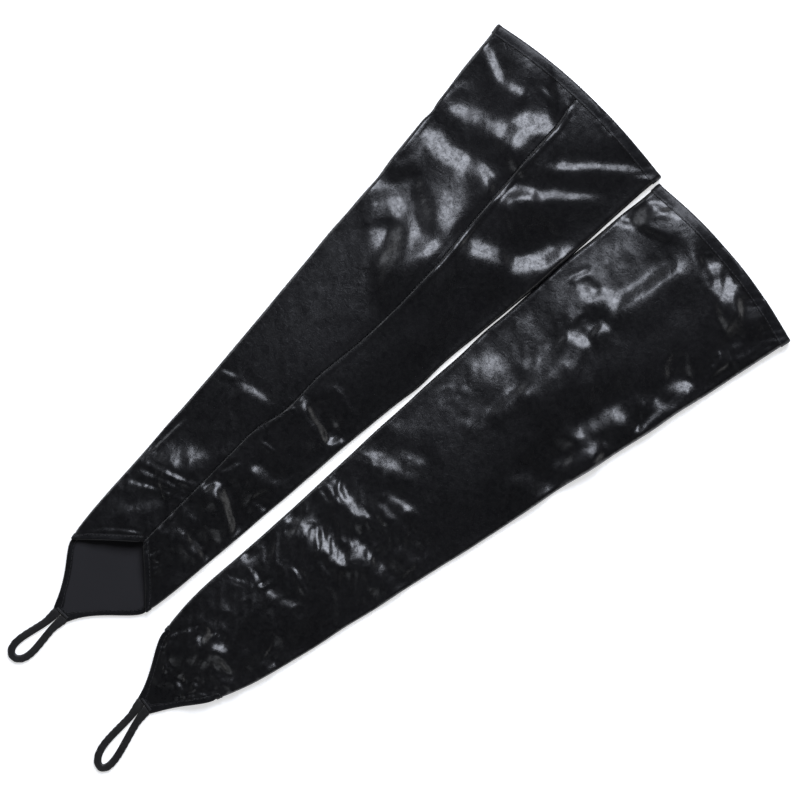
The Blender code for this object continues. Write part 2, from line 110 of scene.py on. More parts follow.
# The wrinkles of each glove. A row is start, middle and end of the fold's run and its width, all
# in tenths of a millimetre on the glove (across, up the sleeve), then how steep its lit side is,
# in hundredths. The lit side lies on the left of the run.
leftFolds = foldTable((
    (-707, 4231, -367, 4399, 26, 4428, 81, 38), (-730, 4083, -391, 4038, 19, 4189, 100, 34),
    (-301, 3136, -157, 3299, -34, 3505, 162, 30), (-463, 3503, -277, 3634, 16, 3818, 312, 16),
    (-249, 4557, -100, 4641, 7, 4746, 125, 34), (-799, 4805, -645, 4745, -524, 4686, 38, 20),
    (-603, 4681, -439, 4707, -279, 4759, 44, 18), (-279, 4865, -194, 4864, -114, 4848, 25, 30),
    (-66, 4916, -3, 4905, 34, 4836, 19, 35), (169, 4464, 436, 4727, 724, 4969, 44, 18),
    (692, 4874, 751, 4942, 815, 4984, 25, 30), (103, 4104, 317, 4314, 616, 4599, 50, 24),
    (92, 4019, 141, 4141, 173, 4278, 88, 30), (68, 3605, 339, 3704, 525, 3783, 88, 22),
    (509, 3724, 611, 3909, 676, 4163, 100, 36), (-685, 3621, -715, 3865, -724, 4141, 19, 30),
    (-771, 4253, -749, 4359, -737, 4497, 38, 14), (52, 5064, 126, 5063, 210, 5031, 25, 20),
    (200, 4999, 274, 4988, 348, 4966, 31, 20), (412, 4998, 491, 4992, 571, 4975, 25, 22),
    (-622, 3557, -437, 3476, -316, 3385, 88, 14), (-440, 788, -438, 1021, -426, 1244, 25, 34),
    (-403, 803, -211, 865, -25, 944, 32, 40), (-392, 814, -274, 993, -83, 1034, 138, 20),
    (-414, 708, -254, 781, -42, 843, 32, 40), (-415, 591, -228, 701, -5, 806, 30, 36),
    (-299, 399, -165, 584, -63, 748, 38, 16), (71, 1030, 267, 976, 462, 855, 56, 40),
    (28, 954, 66, 1012, 98, 1086, 44, 30), (56, 1150, 72, 1219, 89, 1288, 25, 25),
    (174, 1308, 269, 1339, 391, 1323, 62, 26), (353, 1148, 411, 1153, 496, 1152, 38, 18),
    (16, 742, 85, 757, 191, 757, 38, 18), (132, 646, 270, 613, 434, 575, 42, 38),
    (141, 1993, 300, 1896, 464, 1868, 52, 40), (448, 1831, 480, 1884, 507, 1953, 38, 35),
    (191, 2210, 297, 2188, 418, 2150, 31, 38), (55, 1802, 71, 1839, 88, 1876, 25, 35),
    (90, 1521, 149, 1526, 218, 1541, 25, 20), (48, 1564, 44, 1675, 60, 1776, 19, 16),
    (-322, 1704, -200, 1740, -67, 1766, 38, 14), (-492, 1684, -439, 1705, -385, 1726, 31, 20),
    (-327, 161, -210, 287, -61, 392, 19, 25), (44, 254, 55, 296, 56, 339, 25, 25),
    (109, 317, 114, 354, 109, 391, 25, 25), (188, 269, 199, 300, 199, 332, 25, 28),
))
rightFolds = foldTable((
    (-423, 616, -413, 740, -376, 863, 38, 34), (-406, 613, -331, 650, -263, 702, 19, 25),
    (-313, 797, -227, 787, -155, 770, 25, 36), (-179, 751, -160, 812, -160, 887, 25, 36),
    (-107, 771, -67, 798, -10, 811, 38, 30), (-153, 1033, -65, 1050, 69, 1015, 31, 36),
    (5, 819, 68, 865, 131, 911, 38, 14), (-354, 1364, -124, 1331, 110, 1417, 81, 36),
    (-74, 1236, 18, 1233, 103, 1234, 31, 20), (-502, 1702, -305, 1676, -83, 1695, 50, 40),
    (-492, 1629, -367, 1619, -271, 1621, 25, 20), (-471, 1557, -407, 1555, -332, 1554, 25, 20),
    (-90, 1550, 132, 1532, 480, 1607, 69, 34), (-447, 2009, -309, 2093, -90, 2171, 62, 26),
    (-350, 2199, -245, 2251, -143, 2324, 50, 20), (-181, 1939, -67, 1965, 108, 2021, 50, 30),
    (-121, 1856, -31, 1863, 44, 1863, 44, 26), (-81, 1760, 10, 1756, 88, 1772, 25, 20),
    (71, 1898, 167, 1901, 263, 1903, 38, 20), (211, 1773, 304, 1797, 409, 1811, 62, 30),
    (-191, 1739, -44, 1722, 118, 1712, 31, 20), (-229, 4084, -215, 4375, -204, 4762, 81, 30),
    (-311, 3752, -218, 3775, -113, 3827, 62, 40), (-200, 3874, -178, 3952, -151, 4025, 50, 38),
    (-591, 3992, -583, 4052, -558, 4146, 31, 34), (-379, 4010, -379, 4085, -399, 4157, 50, 12),
    (-141, 2860, -163, 3017, -151, 3244, 56, 20), (-154, 3152, -180, 3454, -151, 3715, 138, 12),
    (-523, 2754, -512, 2793, -500, 2821, 25, 25), (-444, 2882, -402, 2888, -370, 2893, 31, 25),
    (-419, 2741, -413, 2774, -407, 2807, 31, 15), (-225, 2688, -206, 2749, -131, 2749, 50, 14),
    (241, 3276, 365, 3464, 490, 3765, 88, 40), (349, 3307, 455, 3396, 587, 3447, 69, 36),
    (475, 3051, 494, 3225, 525, 3390, 88, 32), (294, 2812, 474, 2864, 602, 2908, 88, 20),
    (442, 3876, 509, 3939, 623, 3965, 75, 36), (446, 4080, 522, 4155, 582, 4260, 88, 34),
    (597, 3683, 608, 3797, 605, 3941, 38, 30), (-62, 4824, -20, 4905, 26, 4965, 75, 20),
    (138, 4766, 169, 4856, 220, 4949, 125, 30), (306, 4875, 433, 4919, 506, 4977, 75, 22),
    (488, 4557, 532, 4590, 632, 4598, 75, 24), (519, 4647, 539, 4698, 563, 4755, 62, 20),
    (-603, 4632, -660, 4732, -707, 4806, 88, 30), (-621, 4759, -584, 4844, -554, 4934, 31, 25),
    (351, 3569, 381, 3734, 412, 3899, 75, 10), (-273, -6, -258, 76, -208, 180, 25, 30),
    (-125, 127, -92, 195, -115, 289, 50, 30), (-44, 197, 10, 231, 44, 300, 62, 34),
    (-186, 257, -163, 325, -100, 333, 50, 26), (-244, -104, -243, -66, -264, -32, 25, 30),
    (-140, -154, -115, -145, -76, -156, 31, 20), (28, 105, 104, 56, 180, 8, 19, 16),
    (24, -185, 43, -161, 67, -142, 38, 25), (84, -193, 101, -158, 142, -142, 38, 25),
    (107, -88, 126, -64, 163, -64, 31, 25), (162, -177, 169, -144, 193, -124, 25, 22),
    (199, -91, 211, -63, 241, -48, 25, 22), (252, -9, 264, 19, 282, 43, 25, 20),
    (270, 448, 321, 466, 382, 485, 50, 40), (232, 101, 232, 138, 236, 182, 50, 18),
))
foldShape = {
    "steps": 8,
    "overrun": 0.30,
    "fade": 0.30,
    "litTurn": math.radians(124.6),  # towards the photo's light, from +X towards +Y
    "litSlope": 0.39,  # the slope that mirrors that light into the camera
    "full": 0.38,  # folds listed with this steepness reach that slope
    "leastFacing": 0.6,
    "shallowest": 0.08,
    "steepest": 0.95,
    "skirt": 0.52,  # share of each fold that is spread out wider
    "skirtReach": 2.2,
    "cut": 2.5,  # a fold is worked out as far as this many reaches of its skirt
    "warp": 0.0011,
    "warpSize": 0.011,
    "crisp": 0.0033,  # folds narrower than this have no skirt and no warp
}


def archSlope(glove, x, v):  # slopes of the smooth upper side, across the glove and up the sleeve
    def height(x, v):
        return float(upperHeight(glove, np.clip(x / flatHalf(glove, v), -0.99, 0.99), v))

    step = 0.001
    across = height(x + step, v) - height(x - step, v)
    up = height(x, v + step) - height(x, v - step)
    return across / (2 * step), up / (2 * step)


def foldSteepness(glove, middle, run, light, listed):
    # What the smooth upper side lacks there of the slope that is lit, (lit + arch.L) / (left.L),
    # times sqrt(listed / full)
    slope = archSlope(glove, middle[0], middle[1])
    facing = (light[1] * run[0] - light[0] * run[1]) / np.hypot(run[0], run[1])
    lacking = foldShape["litSlope"] + slope[0] * light[0] + slope[1] * light[1]
    steep = max(lacking, foldShape["shallowest"]) / max(facing, foldShape["leastFacing"])
    return min(steep * math.sqrt(min(listed / foldShape["full"], 1.0)), foldShape["steepest"])


def besideRun(run, px, py):
    # The distance of each point from the nearest step of the run, positive on its left, and the
    # share of the run that is passed there
    steps = np.diff(run, axis=0)
    lengths = np.hypot(steps[:, 0], steps[:, 1])
    passed = np.concatenate([[0.0], np.cumsum(lengths)])
    best, side, along = np.full(px.shape, 1e9), np.zeros(px.shape), np.zeros(px.shape)
    for k, (step, length) in enumerate(zip(steps, lengths)):
        dx, dy = px - run[k, 0], py - run[k, 1]
        part = np.clip((dx * step[0] + dy * step[1]) / length**2, 0, 1)
        away = np.hypot(dx - part * step[0], dy - part * step[1])
        closer = away < best
        best = np.where(closer, away, best)
        side = np.where(closer, np.sign(step[0] * dy - step[1] * dx) * away, side)
        along = np.where(closer, (passed[k] + part * length) / passed[-1], along)
    return side, along


def foldRelief(glove, x, y):
    # Height of all folds: -steep * d * exp(-(d/width)^2), d being the distance left of the run,
    # partly spread out wider, times a fade to nothing at both ends of the run
    height = np.zeros(x.shape)
    size, seed = foldShape["warpSize"], glove["waveSeed"]
    warpX = foldShape["warp"] * cloudNoise(x / size, y / size, seed + 5)
    warpY = foldShape["warp"] * cloudNoise(x / size + 7, y / size, seed + 6)
    turn = foldShape["litTurn"] - glove["lean"]
    light = (math.cos(turn), math.sin(turn))
    share = np.linspace(0, 1, foldShape["steps"] + 1)[:, None]
    for fold in glove["folds"]:
        start, middle, end, (width, listed) = fold.reshape(4, 2)
        steep = foldSteepness(glove, middle, end - start, light, listed)
        start = start + (start - middle) * foldShape["overrun"]
        end = end + (end - middle) * foldShape["overrun"]
        bend = 2 * middle - (start + end) / 2
        run = (1 - share) ** 2 * start + 2 * share * (1 - share) * bend + share**2 * end
        reach = foldShape["cut"] * width * foldShape["skirtReach"]
        low, high = run.min(axis=0) - reach, run.max(axis=0) + reach
        near = (x > low[0]) & (x < high[0]) & (y > low[1]) & (y < high[1])
        if not near.any():
            continue
        loose = 0.0 if width < foldShape["crisp"] else 1.0
        side, along = besideRun(run, x[near] + loose * warpX[near], y[near] + loose * warpY[near])
        fade = smooth(along / foldShape["fade"]) * smooth((1 - along) / foldShape["fade"])
        skirt = bell(side / (width * foldShape["skirtReach"]))
        shape = mix(bell(side / width), skirt, foldShape["skirt"] * loose)
        height[near] -= steep * side * shape * fade
    return height


leftGlove = {
    "name": "left",
    "side": -1,
    "origin": (-0.0432249, -0.2017570),
    "lean": math.radians(4.0),
    "palmUp": True,
    "wristHalf": 0.0423,
    "armHalf": 0.0834,
    "taper": 0.71,
    "pinch": 0.0016,
    "handShift": -0.0014,
    "innerSwell": 0.0030,
    "handRise": 0.0095,
    "armRise": 0.0170,
    "armSlant": 0.002,
    "tipShift": -0.0050,
    "loopLength": 0.0492,
    "loopTurn": math.radians(4.0),
    "folds": leftFolds,
    # seed, height, both spacings and turn of the noise, and where up the sleeve it is weaker
    "crumples": ((11, 0.00050, 0.016, 0.030, 0.35, 0.170), (12, 0.00050, 0.009, 0.018, 0.9, 0.140),
                 (13, 0.00020, 0.0045, 0.010, 0.7, 0.130)),
    "puckerSizes": ((-0.08, 0.08), (0.30, 0.45)),
    "seamUp": (0.0, 0.048, 0.080, 0.101, 0.148, 0.160, 0.176, 0.190, 0.218, 0.256, 0.297, 0.341, 0.377,
               0.411, 0.445, 0.473, 0.490, 0.506),
    "seamAcross": (-0.0007, -0.0007, -0.0005, -0.0003, -0.0006, 0.0008, 0.0052, 0.0062, 0.0056, 0.0100,
                   0.0116, 0.0104, 0.0069, 0.0045, 0.0021, 0.0012, -0.0019, -0.0028),
    # side of the glove, v, depth and reach of each small dent in its outline
    "dents": ((-1, 0.417, 0.0012, 0.006), (-1, 0.352, 0.0008, 0.012), (1, 0.262, -0.0012, 0.014),
              (1, 0.405, -0.0016, 0.060)),
    "waveSeed": 41,
}
rightGlove = {
    "name": "right",
    "side": 1,
    "origin": (0.0476649, -0.2002570),
    "lean": math.radians(-4.2),
    "palmUp": False,
    "wristHalf": 0.0375,
    "armHalf": 0.0764,
    "taper": 1.10,
    "pinch": 0.0038,
    "handShift": -0.0014,
    "innerSwell": 0.0024,
    "handRise": 0.0105,
    "armRise": 0.0180,
    "armSlant": 0.0035,
    "tipShift": 0.0034,
    "loopLength": 0.0560,
    "loopTurn": math.radians(-16.3),
    "folds": rightFolds,
    "crumples": ((21, 0.00080, 0.015, 0.034, 0.55, 0.270), (22, 0.00078, 0.008, 0.017, 0.9, 0.210),
                 (23, 0.00032, 0.0045, 0.010, 0.8, 0.200)),
    "puckerSizes": ((-0.03, 0.035), (0.25, 1.15)),
    "seamUp": (0.0, 0.506),
    "seamAcross": (0.0, 0.0),
    "dents": ((-1, 0.300, 0.0006, 0.016), (-1, 0.395, -0.0016, 0.065), (1, 0.300, 0.0010, 0.020)),
    "waveSeed": 42,
}


def halfWidth(glove, v):  # mix(wrist, arm, a blend of share and share squared) less a pinch at the hand
    share = np.clip(v, 0, None) / pattern["length"]
    spread = mix(share * share, share, glove["taper"])
    pinch = glove["pinch"] * bell(np.clip(v, 0, None) / pattern["pinchReach"])
    return mix(glove["wristHalf"], glove["armHalf"], spread) - pinch


def foldRadius(v):  # grows evenly from the hand to the arm
    return mix(pattern["handFold"], pattern["armFold"], np.clip(v / pattern["length"], 0, 1))


def flatHalf(glove, v):  # half the width between the side folds
    return halfWidth(glove, v) - foldRadius(v)


def backRun(glove):  # distance round the tube from the middle of the back to a side fold
    return float(flatHalf(glove, 0.0))


def foldRun():  # and round the fold itself, half a circle
    return math.pi * pattern["handFold"]


def seamRun(glove):
    return 2 * backRun(glove) + foldRun()


def lift(v):  # both bound ends stand off the table by their stitching
    reach = pattern["liftReach"]
    hand = 1 - smooth((v - pattern["notch"]) / reach)
    arm = smooth((v - pattern["length"] + reach) / (reach - pattern["armBand"]))
    return pattern["endLift"] * (hand + arm)


def upperHeight(glove, ratio, v):
    # lift + two fold radii + the rest of the rise times (1 - |ratio|^fullness)^2; a point on the
    # upper side falls from there to the table
    radius = foldRadius(v)
    rise = mix(glove["handRise"], glove["armRise"], smooth(v / pattern["length"]))
    fullness = mix(pattern["handFullness"], pattern["edgeFullness"], smooth(v / pattern["fullnessReach"]))
    crown = (1 - np.clip(np.abs(ratio), 0, 1) ** fullness) ** 2
    height = lift(v) + 2 * radius + (rise - 2 * radius) * crown * pattern["slack"]
    if glove["palmUp"]:
        return height
    drop = smooth((pattern["dropStart"] - v) / (pattern["dropStart"] + pattern["pointLength"]))
    share = mix(smooth(-v / pattern["pointLength"]), 1.0, crown)
    return mix(height, depths["turned"] + pattern["cloth"] / 2 + pattern["tipGap"], drop * share)


def armEdge(glove, s):  # v of the arm edge: length + slant * ratio + crown * (1 - ratio^2)
    run = np.minimum(np.abs(s), seamRun(glove) - np.abs(s))
    ratio = np.copysign(np.clip(run / backRun(glove), 0, 1), s)
    return pattern["length"] + glove["armSlant"] * ratio + pattern["edgeCrown"] * (1 - ratio * ratio)


edgeWave = {"size": 0.0007, "spacing": 0.027, "start": 0.015, "end": 0.495, "fade": 0.03}


def sideShift(glove, ratio, v):
    # hand shift at the hand end, a swell of the side towards the other glove that goes with
    # sin(pi * share^power)^2, and small waves and dents of both side edges
    share = np.clip(v / pattern["length"], 0, 1)
    swell = glove["innerSwell"] * np.sin(math.pi * share ** pattern["swellPower"]) ** 2
    hand = glove["handShift"] * (1 - smooth(v / pattern["handShiftReach"]))
    shift = hand - glove["side"] * swell * (1 - glove["side"] * ratio) / 2
    side = np.where(ratio < 0, -1.0, 1.0)
    wave = edgeWave["size"] * cloudNoise(v / edgeWave["spacing"] + 9, 4 + side * 2.5, glove["waveSeed"])
    for dentSide, at, deep, reach in glove["dents"]:
        wave = wave - np.where(side == dentSide, side * deep * bell((v - at) / reach), 0.0)
    fade = edgeWave["fade"]
    inside = smooth((v - edgeWave["start"]) / fade) * smooth((edgeWave["end"] - v) / fade)
    return shift + wave * inside * np.abs(ratio) ** 3


def seamTotal(glove, v):  # across of the palm seam at v
    return np.interp(v, glove["seamUp"], glove["seamAcross"])


def seamLine(glove, v):  # and what is left of it when the tube's own shift is taken off
    return seamTotal(glove, v) - sideShift(glove, 0.0, v)


seamShape = {
    "ridge": 0.0015,
    "ridgeAt": 0.0024,
    "ridgeReach": 0.0019,
    "valley": 0.0016,
    "valleyAt": -0.0006,
    "valleyReach": 0.0054,
    "valleyEdge": 0.0012,
    "valleyFade": 0.0018,
    "handShare": 0.22,  # share of its height that the relief has towards the hand
    "growStart": 0.23,
    "growReach": 0.17,
    "end": 0.497,
    "endReach": 0.03,
}


def seamRelief(glove, x, v):  # a ridge right of the seam and a hollow left of it, each a bell
    if not glove["palmUp"]:
        return 0.0
    shape, away = seamShape, x - seamTotal(glove, v)
    strength = mix(shape["handShare"], 1.0, smooth((v - shape["growStart"]) / shape["growReach"]))
    strength = strength * smooth((shape["end"] - v) / shape["endReach"])
    ridge = shape["ridge"] * bell((away - shape["ridgeAt"]) / shape["ridgeReach"])
    hollow = shape["valley"] * bell(np.minimum(away - shape["valleyAt"], 0) / shape["valleyReach"])
    hollow = hollow * smooth((shape["valleyEdge"] - away) / shape["valleyFade"])
    return strength * (ridge - hollow)


puckerShape = {
    "height": 0.00030,
    "spacing": 0.0066,
    "reach": 0.0110,
    "slant": 0.55,
    "band": 0.006,  # full height as far as this from the arm edge
    "swing": 2.2,  # radians that the ripples wander
    "swingSize": 0.021,
    "even": 0.55,  # share of the height that is the same everywhere
    "uneven": 0.45,
    "patchAcross": 0.017,
    "patchUp": 0.03,
}


def puckers(glove, x, v, edge):
    # Slanting ripples along the arm hem: height * sin(2 pi * across / spacing), in patches
    shape, beside = puckerShape, edge - v
    turn = 2 * math.pi / shape["spacing"]
    swing = shape["swing"] * cloudNoise(x / shape["swingSize"], v * 0, 5)
    patches = cloudNoise(x / shape["patchAcross"] + 9, beside / shape["patchUp"], 6)
    size = shape["height"] * (shape["even"] + shape["uneven"] * patches)
    size = size * np.interp(x, *glove["puckerSizes"])
    ripple = np.sin((x + shape["slant"] * beside) * turn + swing)
    return size * ripple * bell(np.clip(beside - shape["band"], 0, None) / shape["reach"])


crumpleShape = {"middle": 0.5, "crease": 1.6, "farShare": 0.30, "start": 0.06, "reach": 0.08}


def crumple(glove, x, v):
    # Creased noise, strongest near the hand: height * (middle - crease * |noise|) for each row
    height, shape = np.zeros(x.shape), crumpleShape
    for seed, size, short, long, turn, until in glove["crumples"]:
        a = (x * math.cos(turn) + v * math.sin(turn)) / short
        b = (v * math.cos(turn) - x * math.sin(turn)) / long
        fade = mix(shape["farShare"], 1.0, 1 - smooth((v - until + shape["start"]) / shape["reach"]))
        creases = shape["middle"] - shape["crease"] * np.abs(cloudNoise(a + 20, b + 20, seed))
        height += size * fade * creases
    return height


def relief(glove, x, v, edge):  # everything that stands on the smooth upper side
    inside = smooth((v + pattern["pointLength"]) / pattern["tipFade"])
    made = foldRelief(glove, x, v) + crumple(glove, x, v)
    return made * inside + seamRelief(glove, x, v) + puckers(glove, x, v, edge)


def place(glove, s, v, depth):
    # A point s round the tube from the middle of the back, v up the sleeve and depth below the
    # outer face. Sheets: (ratio * flat half, v, height - depth); folds: half a circle between them
    s, v, depth = (np.array(part, float) for part in np.broadcast_arrays(s, v, depth))
    run, side = np.abs(s), np.where(s < 0, -1.0, 1.0)
    back, total = backRun(glove), seamRun(glove)
    angle = np.clip((run - back) / pattern["handFold"], 0, math.pi)
    onBack, onPalm = run <= back, run >= back + foldRun()
    onFold = ~(onBack | onPalm)
    ratio = np.where(onBack, s / back, np.where(onPalm, side * (total - run) / back, side))
    flat, radius = flatHalf(glove, v), foldRadius(v)
    shift = sideShift(glove, ratio, v)
    across = ratio * flat + shift + np.where(onPalm, seamLine(glove, v) * (1 - ratio * ratio), 0.0)
    across += np.where(onBack, glove["tipShift"] * smooth(-v / pattern["pointLength"]), 0.0)
    bump = relief(glove, across, v, armEdge(glove, s))
    turned = -1.0 if glove["palmUp"] else 1.0
    faceUp = onPalm if glove["palmUp"] else onBack
    share = np.where(onFold, (1 + turned * np.cos(angle)) / 2, np.where(faceUp, 1.0, 0.0))
    upper = upperHeight(glove, ratio, v) - depth
    sheet = np.where(faceUp, upper, lift(v) + depth)
    rolled = lift(v) + radius + turned * (radius - depth) * np.cos(angle)
    bump = np.maximum(bump, -pattern["deepest"] * (upperHeight(glove, ratio, v) - lift(v)))
    height = np.where(onFold, rolled, sheet) + share * bump
    narrow = radius * (1 - pattern["cornerPress"] * bell(v / pattern["cornerReach"]))
    out = np.where(onFold, shift + side * (flat + (narrow - depth) * np.sin(angle)), across)
    return toWorld(glove, out, v, height)


def toWorld(glove, x, y, z):  # turned by the lean and moved to the glove's origin
    c, s = math.cos(glove["lean"]), math.sin(glove["lean"])
    x, y, z = np.broadcast_arrays(x, y, z)
    return np.stack([glove["origin"][0] + x * c - y * s, glove["origin"][1] + x * s + y * c, z], axis=-1)


def besideSeam(glove, side, distance, v, depth):  # a point at a real distance from the seam
    ratio = side * distance / flatHalf(glove, v)
    x = seamLine(glove, v) + side * distance + sideShift(glove, ratio, v)
    if not glove["palmUp"]:
        return toWorld(glove, x, v, lift(v) + depth)
    height = upperHeight(glove, ratio, v) + relief(glove, x, v, armEdge(glove, seamRun(glove)))
    return toWorld(glove, x, v, height - depth)


# Mesh tools


def gridFaces(lines, columns, ring=False, flip=False):  # four corners for each cell of a grid
    cells = columns if ring else columns - 1
    line, column = np.meshgrid(np.arange(lines - 1), np.arange(cells), indexing="ij")
    nextColumn = (column + 1) % columns
    corners = [line * columns + column, line * columns + nextColumn,
               (line + 1) * columns + nextColumn, (line + 1) * columns + column]
    faces = np.stack([c.ravel() for c in corners], axis=1)
    return faces[:, ::-1] if flip else faces


def pairs(a, b):  # (a, b) for every point
    return np.stack(np.broadcast_arrays(a, b), axis=-1)


def unit(ways):  # each direction divided by its length
    return ways / np.linalg.norm(ways, axis=1)[:, None]


def distances(line):  # way along a line up to each of its points
    return np.concatenate([[0.0], np.cumsum(np.linalg.norm(np.diff(line, axis=0), axis=1))])


def makePiece(name, points, faces, materials, uv=None):
    mesh = bpy.data.meshes.new(name)
    mesh.from_pydata(points.reshape(-1, 3).tolist(), [], [list(map(int, face)) for face in faces])
    if uv is not None:
        layer = mesh.uv_layers.new(name="pattern")
        corner = np.empty(len(mesh.loops), dtype=np.int32)
        mesh.loops.foreach_get("vertex_index", corner)
        layer.data.foreach_set("uv", uv.reshape(-1, 2)[corner].ravel())
    for material in materials:
        mesh.materials.append(material)
    mesh.shade_smooth()
    made = bpy.data.objects.new(name, mesh)
    bpy.context.scene.collection.objects.link(made)
    return made


def giveThickness(piece, thickness, inner=0):  # a wall on both sides of the grid
    wall = piece.modifiers.new("thickness", "SOLIDIFY")
    wall.thickness = thickness
    wall.offset = 0.0
    wall.material_offset = inner
    wall.material_offset_rim = inner


def makeStrip(glove, name, points, uv, finish, thickness, ring=False):  # a grid of points as a sheet
    faces = gridFaces(*points.shape[:2], ring=ring, flip=not glove["palmUp"])
    piece = makePiece(glove["name"] + name, points, faces, [finish], uv=uv)
    giveThickness(piece, thickness)
    return piece


def settle(piece, glove, part, body="gloves"):  # a piece stands for its solid and rides with it
    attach(piece, body)
    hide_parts(glove["name"] + "_" + part)
    return piece


def tubeFaces(sections, sides):  # a skin round the sections and a cap on both ends
    faces = gridFaces(sections, sides, ring=True).tolist()
    return faces + [list(range(sides))[::-1], [(sections - 1) * sides + k for k in range(sides)]]


# One stitch: place of each ring along half its length and share of the thread's radius
stitchRings = {
    "sides": 7,
    "places": np.array([-1.0, -0.86, -0.45, 0.0, 0.45, 0.86, 1.0]),
    "sizes": np.array([0.35, 0.80, 1.0, 1.0, 1.0, 0.80, 0.35]),
    "lift": 0.0005,
    "aim": 0.0008,  # a stitch points along the path this far on both sides of it
    "stray": 0.05,  # and is turned a little out of that direction
    "shortest": 0.93,
    "longest": 1.05,
}


def stitchSet(name, centres, along, up, lengths, thread):
    # One short thread for each centre: rings of radius r whose middle stands up and whose ends dip
    sides, places = stitchRings["sides"], stitchRings["places"]
    sizes = stitchRings["sizes"][:, None] * thread["radius"]
    dips = -thread["dip"] * np.abs(places) ** 3
    angle = np.arange(sides) * 2 * math.pi / sides
    across = unit(np.cross(up, along))
    up = np.cross(along, across)
    reach = places[None, :, None] * lengths[:, None, None] / 2
    shape = centres[:, None, None, :] + (
        along[:, None, None, :] * reach[..., None]
        + up[:, None, None, :] * dips[None, :, None, None]
        + up[:, None, None, :] * (sizes * np.sin(angle))[None, :, :, None]
        + across[:, None, None, :] * (sizes * np.cos(angle))[None, :, :, None]
    )
    count = len(places) * sides
    single = tubeFaces(len(places), sides)
    faces = [[corner + k * count for corner in face] for k in range(len(centres)) for face in single]
    return makePiece(name, shape, faces, [blackThread], uv=pairs(reach, angle * thread["radius"]))


def sewAlong(paths, lifted, thread, seed):
    # Centres, directions and lengths of stitches spaced evenly along each path; the normal is the
    # way from the path to the same path lifted out of the cloth
    def spots(marks, passed, line):
        return np.stack([np.interp(marks, passed, line[:, k]) for k in range(3)], axis=1)

    centres, along, up = [], [], []
    for path, above in zip(paths, lifted):
        passed, aim = distances(path), stitchRings["aim"]
        count = int(passed[-1] / thread["pitch"])
        marks = (np.arange(count) + 0.5) * passed[-1] / count
        centres.append(spots(marks, passed, path))
        along.append(spots(marks + aim, passed, path) - spots(marks - aim, passed, path))
        up.append(spots(marks, passed, above - path))
    centres, along, up = (np.concatenate(part) for part in (centres, along, up))
    along, up = unit(along), unit(up)
    random = np.random.default_rng(seed)
    stray = random.normal(0, stitchRings["stray"], len(along))[:, None]
    along = unit(along + np.cross(up, along) * stray)
    shares = random.uniform(stitchRings["shortest"], stitchRings["longest"], len(along))
    return centres, along, up, thread["length"] * shares


def sew(glove, name, part, paths, lifted, thread, seed):  # the stitches along these paths, one piece
    piece = stitchSet(glove["name"] + name, *sewAlong(paths, lifted, thread, seed), thread)
    settle(piece, glove, part)


# Shader groups


def newGroup(name, inputs, outputs):
    group = bpy.data.node_groups.new(name, "ShaderNodeTree")
    for label, kind, value in inputs:
        socket = group.interface.new_socket(name=label, in_out="INPUT", socket_type=kind)
        if value is not None:
            socket.default_value = value
    for label in outputs:
        group.interface.new_socket(name=label, in_out="OUTPUT", socket_type="NodeSocketFloat")
    return group, group.nodes.new("NodeGroupInput"), group.nodes.new("NodeGroupOutput")


def feed(tree, socket, value):  # a number is set, anything else is linked
    if isinstance(value, (int, float)):
        socket.default_value = value
    else:
        tree.links.new(value, socket)


def noiseNode(tree, place, size, detail, roughness, distortion=0.0):
    node = tree.nodes.new("ShaderNodeTexNoise")
    labels = ("Vector", "Scale", "Detail", "Roughness", "Distortion")
    for label, value in zip(labels, (place, size, detail, roughness, distortion)):
        feed(tree, node.inputs[label], value)
    return node.outputs["Fac"]


def mathNode(tree, kind, *values):
    node = tree.nodes.new("ShaderNodeMath")
    node.operation = kind
    for socket, value in zip(node.inputs, values):
        feed(tree, socket, value)
    return node.outputs[0]


def rangeNode(tree, value, low, high, toLow, toHigh):
    node = tree.nodes.new("ShaderNodeMapRange")
    labels = ("Value", "From Min", "From Max", "To Min", "To Max")
    for label, number in zip(labels, (value, low, high, toLow, toHigh)):
        feed(tree, node.inputs[label], number)
    return node.outputs[0]


grainMix = {
    "cellWall": 0.12,
    "ridgeScale": 0.45,  # share of the creases' scale
    "fine": 0.35,
    "ditch": 0.10,
    "ridge": -3.0,
    "shineFine": 0.55,
    "shineCoarse": 0.85,
    "shineBroad": 0.60,
    "shineFrom": 0.78,
    "shineTo": 1.22,
}


